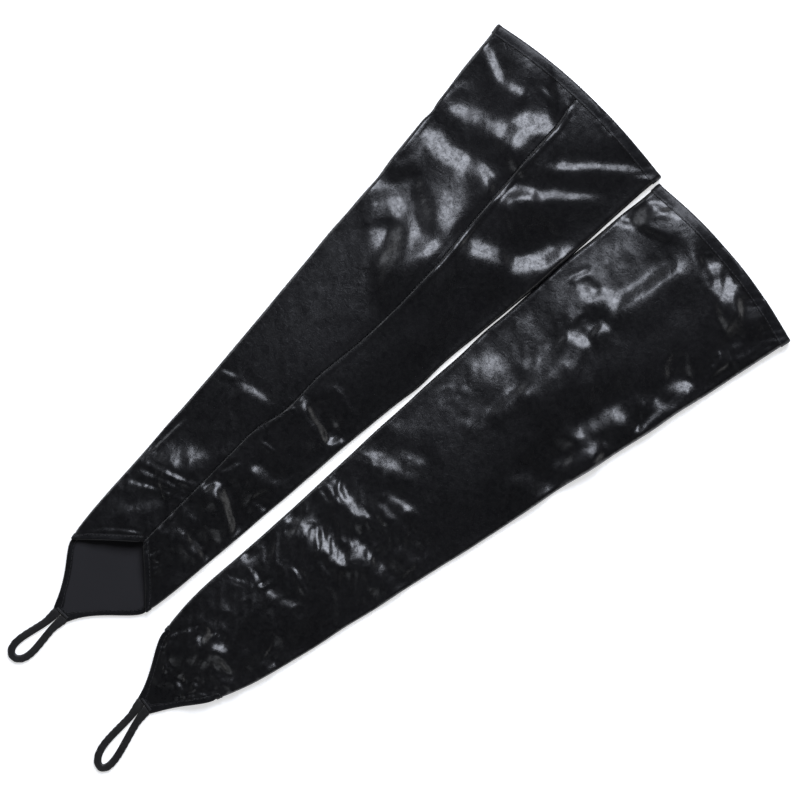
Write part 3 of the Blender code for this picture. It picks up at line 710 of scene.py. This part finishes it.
def coatGrainGroup():  # pebbled film: fine noise, coarse noise, small cells and creased ridges
    inputs = (("Place", "NodeSocketVector", None), ("Grain", "NodeSocketFloat", 900.0),
              ("Crease", "NodeSocketFloat", 220.0))
    group, inside, outside = newGroup("coatGrain", inputs, ("Height", "Shine"))
    place, grain, crease = (inside.outputs[label] for label in ("Place", "Grain", "Crease"))
    fine = noiseNode(group, place, grain, 3.0, 0.6)
    coarse = noiseNode(group, place, crease, 2.0, 0.5, 0.6)
    cells = group.nodes.new("ShaderNodeTexVoronoi")
    cells.feature = "DISTANCE_TO_EDGE"
    feed(group, cells.inputs["Vector"], place)
    feed(group, cells.inputs["Scale"], grain)
    ditch = rangeNode(group, cells.outputs["Distance"], 0.0, grainMix["cellWall"], 0.0, 1.0)
    wide = mathNode(group, "MULTIPLY", crease, grainMix["ridgeScale"])
    broad = noiseNode(group, place, wide, 2.0, 0.5, 0.9)
    ridge = mathNode(group, "ABSOLUTE", mathNode(group, "SUBTRACT", broad, 0.5))
    height = mathNode(group, "MULTIPLY_ADD", fine, grainMix["fine"], coarse)
    height = mathNode(group, "MULTIPLY_ADD", ditch, grainMix["ditch"], height)
    height = mathNode(group, "MULTIPLY_ADD", ridge, grainMix["ridge"], height)
    group.links.new(height, outside.inputs["Height"])
    shine = mathNode(group, "MULTIPLY", coarse, grainMix["shineCoarse"])
    shine = mathNode(group, "MULTIPLY_ADD", fine, grainMix["shineFine"], shine)
    shine = mathNode(group, "MULTIPLY_ADD", broad, grainMix["shineBroad"], shine)
    shine = rangeNode(group, shine, grainMix["shineFrom"], grainMix["shineTo"], 0.0, 1.0)
    group.links.new(shine, outside.inputs["Shine"])
    return group


def cloudGroup():  # soft patches from 0 to 1, for wear and dust
    group, inside, outside = newGroup(
        "softClouds",
        (("Place", "NodeSocketVector", None), ("Size", "NodeSocketFloat", 20.0),
         ("Low", "NodeSocketFloat", 0.4), ("High", "NodeSocketFloat", 0.65)),
        ("Mask",),
    )
    cloud = noiseNode(group, inside.outputs["Place"], inside.outputs["Size"], 4.0, 0.6)
    mask = rangeNode(group, cloud, inside.outputs["Low"], inside.outputs["High"], 0.0, 1.0)
    group.links.new(mask, outside.inputs["Mask"])
    return group


def weaveGroup():  # two crossed sets of waves, the higher one on top
    group, inside, outside = newGroup(
        "threadWeave",
        (("Place", "NodeSocketVector", None), ("Threads", "NodeSocketFloat", 300.0)),
        ("Height",),
    )
    waves = []
    for direction in ("X", "Y"):
        wave = group.nodes.new("ShaderNodeTexWave")
        wave.bands_direction = direction
        wave.inputs["Distortion"].default_value = 0.8
        wave.inputs["Detail"].default_value = 1.0
        group.links.new(inside.outputs["Place"], wave.inputs["Vector"])
        group.links.new(inside.outputs["Threads"], wave.inputs["Scale"])
        waves.append(wave.outputs["Fac"])
    group.links.new(mathNode(group, "MAXIMUM", waves[0], waves[1]), outside.inputs["Height"])
    return group


coatGrain, softClouds, threadWeave = coatGrainGroup(), cloudGroup(), weaveGroup()


def placeGroup(tree, group, place, **values):
    node = tree.nodes.new("ShaderNodeGroup")
    node.node_tree = group
    tree.links.new(place, node.inputs["Place"])
    for label, value in values.items():
        node.inputs[label].default_value = value
    return node


# What a finish has unless its own dictionary says otherwise
plainFinish = {
    "weave": None,
    "bump": 0.50,
    "coat": 0.0,
    "coatRoughness": 0.5,
    "specular": 0.3,
    "sheen": 0.0,
    "cloudsFrom": 0.38,
    "cloudsTo": 0.66,
    "cloudShare": 0.45,
    "wanderShare": 0.55,
    "thinnestCoat": 0.10,
    "coatIor": 1.6,
    "sheenRoughness": 0.5,
}


def newFinish(name, own):
    # A cloth finish: two colours in soft clouds, a roughness that wanders, grain or weave as bump
    look = {**plainFinish, **own}
    finish = bpy.data.materials.new(name)
    finish.use_nodes = True
    tree = finish.node_tree
    surface = tree.nodes["Principled BSDF"]
    where = tree.nodes.new("ShaderNodeTexCoord")
    place = where.outputs["Object"]
    low, high = look["cloudsFrom"], look["cloudsTo"]
    clouds = placeGroup(tree, softClouds, place, Size=look["clouds"], Low=low, High=high).outputs["Mask"]
    tint = tree.nodes.new("ShaderNodeMix")
    tint.data_type = "RGBA"
    tree.links.new(clouds, tint.inputs["Factor"])
    tint.inputs[6].default_value = (*look["dark"], 1.0)
    tint.inputs[7].default_value = (*look["pale"], 1.0)
    if look["weave"]:
        texture = placeGroup(tree, threadWeave, where.outputs["UV"], Threads=look["weave"])
        wander = noiseNode(tree, place, look["clouds"] * 4, 3.0, 0.6)
        coat = look["coat"]
    else:
        texture = placeGroup(tree, coatGrain, place, Grain=look["grain"], Crease=look["crease"])
        wander = texture.outputs["Shine"]
        coat = rangeNode(tree, wander, 0.0, 1.0, look["coat"] * look["thinnestCoat"], look["coat"])
    mixed = mathNode(tree, "MULTIPLY", wander, look["wanderShare"])
    mixed = mathNode(tree, "MULTIPLY_ADD", clouds, look["cloudShare"], mixed)
    bump = tree.nodes.new("ShaderNodeBump")
    bump.inputs["Strength"].default_value = look["bump"]
    bump.inputs["Distance"].default_value = look["bumpDepth"]
    tree.links.new(texture.outputs["Height"], bump.inputs["Height"])
    for label, value in (
        ("Base Color", tint.outputs[2]),
        ("Roughness", rangeNode(tree, mixed, 0.0, 1.0, look["smoothest"], look["roughest"])),
        ("Normal", bump.outputs["Normal"]),
        ("Coat Weight", coat),
        ("Coat Roughness", look["coatRoughness"]),
        ("Coat IOR", look["coatIor"]),
        ("Specular IOR Level", look["specular"]),
        ("Sheen Weight", look["sheen"]),
        ("Sheen Roughness", look["sheenRoughness"]),
    ):
        feed(tree, surface.inputs[label], value)
    return finish


coatedCloth = newFinish("coatedCloth", {
    "dark": (0.0050, 0.0049, 0.0056), "pale": (0.0078, 0.0076, 0.0086), "clouds": 14.0,
    "grain": 900.0, "crease": 330.0, "smoothest": 0.26, "roughest": 0.38, "bumpDepth": 0.00024,
    "coat": 0.85, "coatRoughness": 0.24, "specular": 0.22,
})
clothInside = newFinish("clothInside", {
    "dark": (0.0165, 0.0158, 0.0180), "pale": (0.0215, 0.0204, 0.0230), "clouds": 22.0,
    "weave": 420.0, "smoothest": 0.78, "roughest": 0.92, "bumpDepth": 0.00016, "sheen": 0.12,
})
bindingCloth = newFinish("bindingCloth", {
    "dark": (0.0045, 0.0045, 0.0053), "pale": (0.0075, 0.0075, 0.0088), "clouds": 45.0,
    "grain": 1100.0, "crease": 380.0, "smoothest": 0.34, "roughest": 0.50, "bumpDepth": 0.00022,
    "coat": 0.25, "coatRoughness": 0.28, "specular": 0.22,
})
loopCloth = newFinish("loopCloth", {
    "dark": (0.0058, 0.0054, 0.0056), "pale": (0.0100, 0.0094, 0.0095), "clouds": 60.0,
    "grain": 1300.0, "crease": 380.0, "smoothest": 0.40, "roughest": 0.58, "bump": 0.60,
    "bumpDepth": 0.00024, "coat": 0.15, "coatRoughness": 0.30, "specular": 0.5, "sheen": 0.05,
})
blackElastic = newFinish("blackElastic", {
    "dark": (0.0120, 0.0120, 0.0130), "pale": (0.0220, 0.0220, 0.0240), "clouds": 50.0,
    "weave": 260.0, "smoothest": 0.78, "roughest": 0.92, "bump": 0.8, "bumpDepth": 0.00030, "sheen": 0.1,
})
blackThread = newFinish("blackThread", {
    "dark": (0.0055, 0.0055, 0.0065), "pale": (0.0105, 0.0105, 0.0120), "clouds": 120.0,
    "weave": 900.0, "smoothest": 0.42, "roughest": 0.60, "bumpDepth": 0.00010, "specular": 0.5,
    "sheen": 0.1,
})
print("finishes made")

# Sleeves

sleeveGrid = {
    "denseColumns": 96,  # on the upper side
    "spareColumns": 26,  # on the lower side
    "foldColumns": 7,
    "handRows": 26,  # notch zone
    "flapRows": 34,
    "outlinePoints": 121,
    "stretches": ((0.0, 0.34, 140), (0.34, 0.62, 46), (0.62, 1.0, 92)),  # closer where it wrinkles
}


def sideCurve(glove, t):  # cubic Bezier between corner and tip, and its direction towards the corner
    corner, tip, deep = backRun(glove), pattern["tipHalf"], pattern["pointLength"]
    handle = tip + pattern["tipSpread"]
    upper, lower = -pattern["cornerHandle"] * deep, -pattern["tipHandle"] * deep
    controls = np.array([(corner, 0.0), (corner, upper), (handle, lower), (tip, -deep)])
    weights = np.stack([(1 - t) ** 3, 3 * t * (1 - t) ** 2, 3 * t * t * (1 - t), t**3], axis=1)
    slopes = np.stack([3 * (1 - t) ** 2, 6 * t * (1 - t), 3 * t * t], axis=1)
    return weights @ controls, unit(-slopes @ np.diff(controls, axis=0))


def stationsTo(glove, end):
    # Distances s round the tube, close together on the upper side: all of the back, then the fold
    # and the palm of one half as far as end
    back = backRun(glove)
    dense, spare = sleeveGrid["denseColumns"], sleeveGrid["spareColumns"]
    backColumns, palmColumns = (spare, dense // 2) if glove["palmUp"] else (dense, spare // 2)
    onFold = back + foldRun() * np.linspace(0, 1, sleeveGrid["foldColumns"] + 2)[1:-1]
    onPalm = np.linspace(back + foldRun(), end, palmColumns)
    return np.linspace(-back, back, backColumns), np.concatenate([onFold, onPalm])


turnedEdge = {
    "points": 6,
    "gap": 0.0003,  # to the last column of the palm
    "middle": 0.0035,  # one more column on the allowance
    "trim": 1.1,  # the allowance starts this many hand bands above the notch
    "trimRise": 1.6,
    "uvRun": 0.0015,
}


def sleevePoints(glove):
    # Columns run round the tube from one turned seam edge to the other, rows up the sleeve;
    # v = mix(cut, hand zone, share) and then mix(hand zone, arm edge, share)
    back, total = backRun(glove), seamRun(glove)
    edgeGap = pattern["slitHalf"] + 1.5 * pattern["cloth"] + pattern["fit"] + turnedEdge["gap"]
    onBack, half = stationsTo(glove, total - edgeGap)
    stations = np.concatenate([-half[::-1], onBack, half])
    cuts = pattern["notch"] * np.clip((np.abs(stations) - back - foldRun()) / back, 0, 1)
    stretches = [np.linspace(a, b, n, endpoint=False) for a, b, n in sleeveGrid["stretches"]]
    shares = np.concatenate(stretches + [[1.0]])
    handShare = np.linspace(0, 1, sleeveGrid["handRows"], endpoint=False)
    zone = pattern["notch"] + pattern["handBand"] + pattern["allowance"] + pattern["fit"]

    def rowsFor(cut, edge):  # v of every row for these columns
        low = cut[None, :] + (zone - cut[None, :]) * handShare[:, None]
        high = zone + (edge[None, :] - zone) * shares[:, None]
        return np.concatenate([low, high], axis=0)

    v = rowsFor(cuts, armEdge(glove, stations))
    body = place(glove, stations, v, depths["sleeve"])
    # the turned edge: half a circle from the outer layer to the allowance, then the allowance
    turn = np.linspace(0, math.pi, turnedEdge["points"])
    bend = (depths["turned"] - depths["sleeve"]) / 2
    centre = pattern["slitHalf"] + pattern["cloth"] / 2 + bend
    away = np.concatenate([centre - bend * np.sin(turn), [turnedEdge["middle"], pattern["allowance"]]])
    deep = np.concatenate([depths["sleeve"] + bend * (1 - np.cos(turn)), [depths["turned"]] * 2])
    trim = pattern["handBand"] * turnedEdge["trim"] + pattern["fit"]
    trim = np.where(deep > depths["sleeve"] + bend, trim, 0.0)
    trim = np.minimum(trim, np.linspace(0, trim.max(), len(trim)) * turnedEdge["trimRise"])
    parts, uvs = [body], [pairs(stations, v)]
    for side in (-1, 1):
        v = rowsFor(pattern["notch"] + trim, armEdge(glove, np.full(len(away), total)))
        part = besideSeam(glove, side, away[None, :], v, deep[None, :])[:, ::side]
        uv = pairs(side * (total + turnedEdge["uvRun"] - away), v)[:, ::side]
        parts = [part] + parts if side < 0 else parts + [part]
        uvs = [uv] + uvs if side < 0 else uvs + [uv]
    first = len(away) + len(half)  # column of the first back station
    return np.concatenate(parts, axis=1), np.concatenate(uvs, axis=1), first, len(onBack)


def makeSleeve(glove):
    grid, uv, first, backColumns = sleevePoints(glove)
    lines, columns = grid.shape[:2]
    flip = glove["palmUp"]
    faces = gridFaces(lines, columns, flip=flip)
    # the point past the hand corners: columns fan in to the tip, s = share * half width of the point
    outline, _ = sideCurve(glove, np.linspace(1, 0, sleeveGrid["outlinePoints"]))
    rows = np.linspace(-pattern["pointLength"], 0, sleeveGrid["flapRows"] + 1)[:-1, None]
    s = np.interp(rows, outline[:, 1], outline[:, 0]) * np.linspace(-1, 1, backColumns)
    flap = place(glove, s, rows, depths["sleeve"])
    index = np.arange(s.size).reshape(s.shape) + lines * columns
    index = np.concatenate([index, (first + np.arange(backColumns))[None, :]], axis=0)
    quads = np.stack([index[:-1, :-1], index[:-1, 1:], index[1:, 1:], index[1:, :-1]], axis=-1)
    quads = quads.reshape(-1, 4)
    faces = np.concatenate([faces, quads[:, ::-1] if flip else quads])
    points = np.concatenate([grid.reshape(-1, 3), flap.reshape(-1, 3)])
    uvs = np.concatenate([uv.reshape(-1, 2), pairs(s, rows).reshape(-1, 2)])
    piece = makePiece(glove["name"] + "SleeveCloth", points, faces, [coatedCloth, clothInside], uv=uvs)
    giveThickness(piece, pattern["cloth"], inner=1)
    return settle(piece, glove, "sleeve")


def ringStations(glove):  # s round the whole tube
    onBack, half = stationsTo(glove, seamRun(glove))
    return np.concatenate([-half[:-1][::-1], onBack, half])


# Arm hem: binding, elastic and its stitching
armBindingShape = {
    # (distance in from the cut edge, depth) from the outer free edge round to the inner one, in
    # hundredths of a millimetre
    "profile": ((800, -28), (760, -40), (700, -26), (580, -40), (380, -50), (180, -46), (40, -34),
                (-30, 10), (-50, 90), (-30, 170), (40, 215), (300, 222), (600, 220), (800, 218)),
}
armElasticShape = {"margin": 0.0010, "width": 0.006, "rows": 7, "thickness": 0.0007, "endGap": 0.0085}
topThread = {"radius": 0.00020, "pitch": 0.0033, "length": 0.0027, "dip": 0.00026, "inset": 0.0070,
             "out": -0.00058}


def makeArmHem(glove):
    # Each line of the profile runs round the tube: v = arm edge - inset at that depth
    s = ringStations(glove)
    inset, depth = np.hsplit(np.array(armBindingShape["profile"]) / 100000, 2)
    points = place(glove, s, armEdge(glove, s) - inset, depth)
    piece = makeStrip(glove, "ArmBinding", points, pairs(s, inset), bindingCloth, bindingWall, ring=True)
    settle(piece, glove, "arm_binding")

    shape = armElasticShape
    inside = s[np.abs(s) < seamRun(glove) - shape["endGap"]]
    rows = (shape["margin"] + shape["width"] * np.linspace(0, 1, shape["rows"]))[:, None]
    points = place(glove, inside, armEdge(glove, inside) - rows, depths["elastic"])
    piece = makeStrip(glove, "ArmElastic", points, pairs(inside, rows), blackElastic, shape["thickness"])
    settle(piece, glove, "arm_elastic")

    closed = np.append(s, seamRun(glove))
    v = armEdge(glove, closed) - topThread["inset"]
    line = place(glove, closed, v, topThread["out"])
    above = place(glove, closed, v, topThread["out"] - stitchRings["lift"])
    sew(glove, "ArmStitching", "arm_stitching", [line], [above], topThread, 31)


# Hand hem: a narrow binding round point, folds and notch, and its stitching
handBindingShape = {
    "profile": ((400, -26), (370, -36), (310, -24), (220, -38), (100, -40), (20, -30), (-20, -5),
                (-40, 30), (-20, 65), (20, 92), (100, 104), (220, 102), (310, 90), (370, 100), (400, 92)),
    "tipPoints": 6,
    "sidePoints": 44,
    "cornerPoints": 5,
    "foldPoints": 7,
    "palmPoints": 40,
    "cornerBlend": 0.013,
    "cornerStep": 0.0003,  # keeps the points outside the edge apart at the hand corner
    "crowding": 0.02,
    "notchBlend": 0.006,
    "seamGap": 0.0021,
}
handThread = {"radius": 0.00020, "pitch": 0.0030, "length": 0.0025, "dip": 0.00026, "inset": 0.0031,
              "out": -0.00056, "in": 0.00122}
bindingWall = 0.0004  # thickness of both bindings, pressed flat


def handEdge(glove, inset):
    # (s, v) of the hand edge moved in by inset: the tip scaled, the side moved along its normal,
    # a quarter turn at the hand corner, then straight up round the fold and along the notch
    shape, deep, tip = handBindingShape, pattern["pointLength"], pattern["tipHalf"]
    back = backRun(glove)
    a = np.linspace(0, 1, shape["tipPoints"], endpoint=False)
    parts = [np.stack([a * (tip - inset), np.full(a.shape, inset - deep)], axis=1)]
    t = np.linspace(1, 0, shape["sidePoints"])
    side, way = sideCurve(glove, t)
    normal = np.stack([-way[:, 1], way[:, 0]], axis=1)
    moved = side + inset * normal
    moved[:, 1] += inset * (1 - smooth((side[:, 1] + deep) / shape["cornerBlend"]))
    count = shape["cornerPoints"]
    if inset < 0:
        step = shape["cornerStep"]
        lowest = inset - step * (1 + np.arange(len(t))[::-1] * shape["crowding"])
        moved[:, 1] = np.minimum(moved[:, 1], lowest)
        w = np.linspace(-1, 1, count)
        out, down = step * np.maximum(w, 0), step * np.minimum(w, 0)
        corner = np.stack([back - inset + out, inset + down], axis=1)
    else:
        turn = np.linspace(0, math.pi / 2, count + 1)[1:]
        corner = np.stack([back - inset * np.cos(turn), inset * np.sin(turn)], axis=1)
    parts += [moved, corner]
    run = foldRun() * np.linspace(0, 1, shape["foldPoints"] + 1)[1:]
    s = back + run
    if inset < 0:
        s = np.maximum(s, corner[-1, 0] + step * np.arange(1, len(s) + 1))
    parts.append(np.stack([s, np.full(s.shape, inset)], axis=1))
    along = (back - shape["seamGap"]) * np.linspace(0, 1, shape["palmPoints"] + 1)[1:]
    stretch = mix(1.0, math.hypot(1.0, pattern["notch"] / back), smooth(along / shape["notchBlend"]))
    v = pattern["notch"] * along / back + inset * stretch
    parts.append(np.stack([back + foldRun() + along, v], axis=1))
    half = np.concatenate(parts)
    return np.concatenate([half[:0:-1] * (-1, 1), half])


def makeHandHem(glove):
    points, uv = [], []
    for inset, depth in np.array(handBindingShape["profile"]) / 100000:
        s, v = handEdge(glove, inset).T
        points.append(place(glove, s, v, depth))
        uv.append(pairs(s + v, inset + depth))
    piece = makeStrip(glove, "HandBinding", np.array(points), np.array(uv), bindingCloth, bindingWall)
    settle(piece, glove, "hand_binding")

    s, v = handEdge(glove, handThread["inset"]).T
    out, under, rise = handThread["out"], handThread["in"], stitchRings["lift"]
    lines = [place(glove, s, v, depth) for depth in (out, under)]
    above = [place(glove, s, v, depth) for depth in (out - rise, under + rise)]
    sew(glove, "HandStitching", "hand_stitching", lines, above, handThread, 32)


seamThread = {
    "radius": 0.00018,
    "pitch": 0.0026,
    "length": 0.0023,
    "dip": 0.00010,
    "depth": 0.00062,
    "start": 0.0363,
    "end": 0.001,
    "points": 220,
}


def makeSeam(glove):  # short stitches one after the other in the groove between the turned edges
    end = float(armEdge(glove, seamRun(glove))) - seamThread["end"]
    v = np.linspace(seamThread["start"], end, seamThread["points"])
    middle, depth = np.zeros(v.shape), seamThread["depth"]
    line = besideSeam(glove, 1, middle, v, depth)
    above = besideSeam(glove, 1, middle, v, depth - stitchRings["lift"])
    sew(glove, "SeamThread", "seam_thread", [line], [above], seamThread, 33)


# Finger loop: a pressed tube of cloth bent to a teardrop, and the stitches that hold it
loopShape = {
    "outerHalf": 0.0097,
    "width": 0.0058,
    "height": 0.0024,
    "lead": 0.0012,
    "stations": 150,
    "sides": 22,
    "square": 2.6,  # 2 is an oval section, more is boxier
    "groove": 0.00022,
    "grooveHalf": 0.0007,
    "rest": 0.0013,
    "join": 0.00005,  # half the slit between the two strands at the tip
    "flare": 0.26,  # how much wider the strands are where they meet the tip
    "flareReach": 0.013,
    "rootShare": 0.447,  # of root and bulge at the widest place of the path
    "bulgeShare": 0.572,
    "leadPoints": 3,
    "gather": 0.00012,  # height and spacing of the inner side's wrinkles, and how they wander
    "gatherSpacing": 0.0046,
    "gatherSwing": 1.5,
    "gatherWander": 0.007,
}
tackThread = {
    "radius": 0.00024,
    "dip": 0.00026,
    "half": 0.0055,
    "rows": 15,
    "near": 0.0005,
    "far": 0.0024,
    "gap": 0.0002,
    "overlap": 1.06,
}


def tipHeight(glove):  # the up-facing side of the bound tip
    half = pattern["cloth"] / 2
    depth = depths["turned"] + half if glove["palmUp"] else depths["outside"] - half
    return float(place(glove, 0.0, -pattern["pointLength"], depth)[2])


def makeLoop(glove):
    # Path: across = root*cos(a/2) + bulge*sin(a)*sin(a/2)^3, along = -reach*(1-cos a)/2, a from 0 to
    # 2 pi; section: |x/a|^n + |z/b|^n = 1 with a shallow groove along the top
    shape, fit = loopShape, pattern["fit"]
    halfStrand = shape["width"] / 2
    root = halfStrand + shape["join"]
    bulge = (shape["outerHalf"] - halfStrand - shape["rootShare"] * root) / shape["bulgeShare"]
    reach = glove["loopLength"] - halfStrand
    start = max(shape["rest"], tipHeight(glove) - shape["height"] / 2 - pattern["cloth"])
    turn = np.linspace(0, 2 * math.pi, shape["stations"])
    along = -reach * (1 - np.cos(turn)) / 2
    across = root * np.cos(turn / 2) + bulge * np.sin(turn) * np.sin(turn / 2) ** 3
    across += math.tan(glove["loopTurn"]) * along
    height = mix(start, shape["rest"], smooth(-along / (reach / 3)))
    flare = 1 + shape["flare"] * (1 - smooth(-along / shape["flareReach"]))
    across += np.sign(math.pi - turn) * (flare - 1) * shape["width"] / 2
    # both strands start straight inside the bound tip
    lead = np.linspace(fit, shape["lead"] + fit, shape["leadPoints"] + 1)[:-1]
    same = np.ones(lead.shape)
    widest = root + shape["flare"] * shape["width"] / 2
    across = np.concatenate([same * widest, across, same * -widest])
    flare = np.concatenate([same * flare[0], flare, same * flare[-1]])
    along = np.concatenate([-lead, along - fit - shape["lead"], -lead[::-1]])
    height = np.concatenate([same * start, height, same * start])
    path = np.stack([across, along, height], axis=1)
    ahead = unit(np.gradient(path, axis=0))
    sideways = unit(np.cross(ahead, (0.0, 0.0, 1.0)))
    up = np.cross(sideways, ahead)
    angle = np.arange(shape["sides"]) * 2 * math.pi / shape["sides"]
    waves, power = (np.cos(angle), np.sin(angle)), 2 / shape["square"]
    x, z = (np.sign(wave) * np.abs(wave) ** power for wave in waves)
    x, z = x * shape["width"] / 2, z * shape["height"] / 2
    z = z - np.where(z > 0, shape["groove"] * bell(x / shape["grooveHalf"]), 0.0)
    passed = distances(path)
    wander = shape["gatherSwing"] * np.sin(passed / shape["gatherWander"])
    wrinkle = shape["gather"] * np.sin(passed * 2 * math.pi / shape["gatherSpacing"] + wander)
    # the inner side of the bend gathers, the outer side stays smooth
    inner = np.clip(-x / halfStrand, 0, 1)[None, :] * wrinkle[:, None]
    ring = (path[:, None, :] + sideways[:, None, :] * (x[None, :] * flare[:, None] + inner)[:, :, None]
            + up[:, None, :] * z[None, :, None])
    tip = glove["tipShift"] + glove["handShift"]
    points = toWorld(glove, tip + ring[..., 0], ring[..., 1] - pattern["pointLength"], ring[..., 2])
    faces = tubeFaces(len(path), shape["sides"])
    uv = pairs(passed[:, None], x)
    piece = makePiece(glove["name"] + "FingerLoop", points, faces, [loopCloth], uv=uv)
    settle(piece, glove, "finger_loop", body=glove["name"] + "_loop")


def makeBartack(glove):  # threads in a zigzag across the tip, near its end and far from it in turn
    thread, tip = tackThread, glove["tipShift"] + glove["handShift"]
    count = 2 * thread["rows"] + 1
    across = mix(-thread["half"], thread["half"], np.linspace(0, 1, count))
    reachOut = np.where(np.arange(count) % 2 == 0, thread["near"], thread["far"])
    top = tipHeight(glove) + thread["radius"] + thread["gap"]
    corners = toWorld(glove, tip + across, reachOut - pattern["pointLength"], top)
    centres, steps = (corners[1:] + corners[:-1]) / 2, np.diff(corners, axis=0)
    lengths = np.linalg.norm(steps, axis=1) * thread["overlap"]
    up = np.broadcast_to((0.0, 0.0, 1.0), centres.shape)
    piece = stitchSet(glove["name"] + "LoopBartack", centres, unit(steps), up, lengths, thread)
    settle(piece, glove, "loop_bartack")


# The flat cut of each sleeve: the tube's way round at the arm plus both allowances, and the length
for glove in (leftGlove, rightGlove):
    sleeve = makeSleeve(glove)
    makeArmHem(glove)
    makeHandHem(glove)
    makeSeam(glove)
    makeLoop(glove)
    makeBartack(glove)
    levels = np.linspace(0, pattern["length"], 101)
    mean = float(np.mean(4 * halfWidth(glove, levels)))
    width = 4 * glove["armHalf"] + 2 * pattern["allowance"]
    length = pattern["length"] + pattern["edgeCrown"] + pattern["pointLength"]
    area = mean * pattern["length"] + pattern["extraArea"]
    cut = (round(width, 3), round(length, 3), round(area, 4))
    print(glove["name"], "glove made, flat cut and its area", cut)

# Table, backdrop, light and camera
studio = {
    "photoTurn": math.radians(48.6),  # the picture's up, turned from +Y towards -X
    "viewCentre": (0.0011, 0.0481),
    "viewWidth": 0.600,
    "cameraHeight": 2.6,
    "tableRadius": 8.0,
    "tableDrop": 0.0002,
    "rimPoints": 64,
    "wallHeight": 3.2,
    "skyLevel": 0.07,
    "glow": 0.58,
}


def stageFinish(name, colour, glow):  # pale, with a glow that only camera, mirror and glass rays see
    finish = bpy.data.materials.new(name)
    finish.use_nodes = True
    tree = finish.node_tree
    surface = tree.nodes["Principled BSDF"]
    surface.inputs["Base Color"].default_value = (*colour, 1.0)
    surface.inputs["Roughness"].default_value = 0.9
    surface.inputs["Specular IOR Level"].default_value = 0.0
    light = tree.nodes.new("ShaderNodeLightPath")
    seen = mathNode(tree, "MAXIMUM", light.outputs["Is Camera Ray"], light.outputs["Is Glossy Ray"])
    seen = mathNode(tree, "MAXIMUM", seen, light.outputs["Is Transmission Ray"])
    level = mathNode(tree, "MULTIPLY", seen, glow)
    surface.inputs["Emission Color"].default_value = (1.0, 1.0, 1.0, 1.0)
    tree.links.new(level, surface.inputs["Emission Strength"])
    return finish


def makeStage():  # a round table top and a wall round it, turned inwards
    count, glow = studio["rimPoints"], studio["glow"]
    angle = np.linspace(0, 2 * math.pi, count, endpoint=False)
    rim = np.stack([np.cos(angle), np.sin(angle)], axis=1) * studio["tableRadius"]
    low = np.concatenate([rim, np.full((count, 1), -studio["tableDrop"])], axis=1)
    high = low + (0.0, 0.0, studio["wallHeight"])
    tableWhite = stageFinish("tableWhite", (0.93, 0.93, 0.93), glow)
    table = makePiece("tableTop", low, [list(range(count))], [tableWhite])
    backdropWhite = stageFinish("backdropWhite", (0.9, 0.9, 0.9), 1.0)
    faces = gridFaces(2, count, ring=True, flip=True)
    wall = makePiece("backdrop", np.stack([low, high]), faces, [backdropWhite])


makeStage()
softboxes = (
    # name, turn in the picture from its right side, angle from straight up, distance, sizes, radiance
    ("mainSoftbox", 76.0, 40.0, 1.55, 0.96, 0.88, 9.8, (0.85, 0.89, 1.0)),
    ("lowSoftbox", -112.0, 52.0, 1.60, 1.0, 0.45, 1.0, (0.9, 0.94, 1.0)),
    ("edgeSoftbox", 143.0, 63.0, 1.60, 0.60, 0.45, 2.2, (0.88, 0.92, 1.0)),
)


def photoDirection(turn):  # a direction of the picture, counted from its right side, in the row frame
    a = math.radians(turn) + studio["photoTurn"]
    return math.cos(a), math.sin(a)


aim = Vector((*studio["viewCentre"], 0.0))
for name, turn, tilt, distance, width, deep, radiance, colour in softboxes:
    x, y = photoDirection(turn)
    a = math.radians(tilt)
    away = Vector((x * math.sin(a), y * math.sin(a), math.cos(a)))
    light = bpy.data.lights.new(name, "AREA")
    light.shape = "RECTANGLE"
    light.size, light.size_y = width, deep
    light.energy = radiance * math.pi * width * deep
    light.color = colour
    lamp = bpy.data.objects.new(name, light)
    lamp.location = aim + away * distance
    lamp.rotation_euler = away.to_track_quat("Z", "Y").to_euler()
    bpy.context.scene.collection.objects.link(lamp)

world = bpy.data.worlds.new("studioRoom")
world.use_nodes = True
world.node_tree.nodes["Background"].inputs["Color"].default_value = (0.94, 0.97, 1.0, 1.0)
world.node_tree.nodes["Background"].inputs["Strength"].default_value = studio["skyLevel"]
bpy.context.scene.world = world
bpy.context.scene.view_settings.view_transform = "Standard"

lens = bpy.data.cameras.new("photoCamera")
lens.sensor_width = 36.0
lens.lens = lens.sensor_width * studio["cameraHeight"] / studio["viewWidth"]
lens.clip_end = 50.0
camera = bpy.data.objects.new("photoCamera", lens)
camera.location = (*studio["viewCentre"], studio["cameraHeight"])
camera.rotation_euler = (0.0, 0.0, studio["photoTurn"])
bpy.context.scene.collection.objects.link(camera)
bpy.context.scene.camera = camera
print("stage, lights and camera placed")
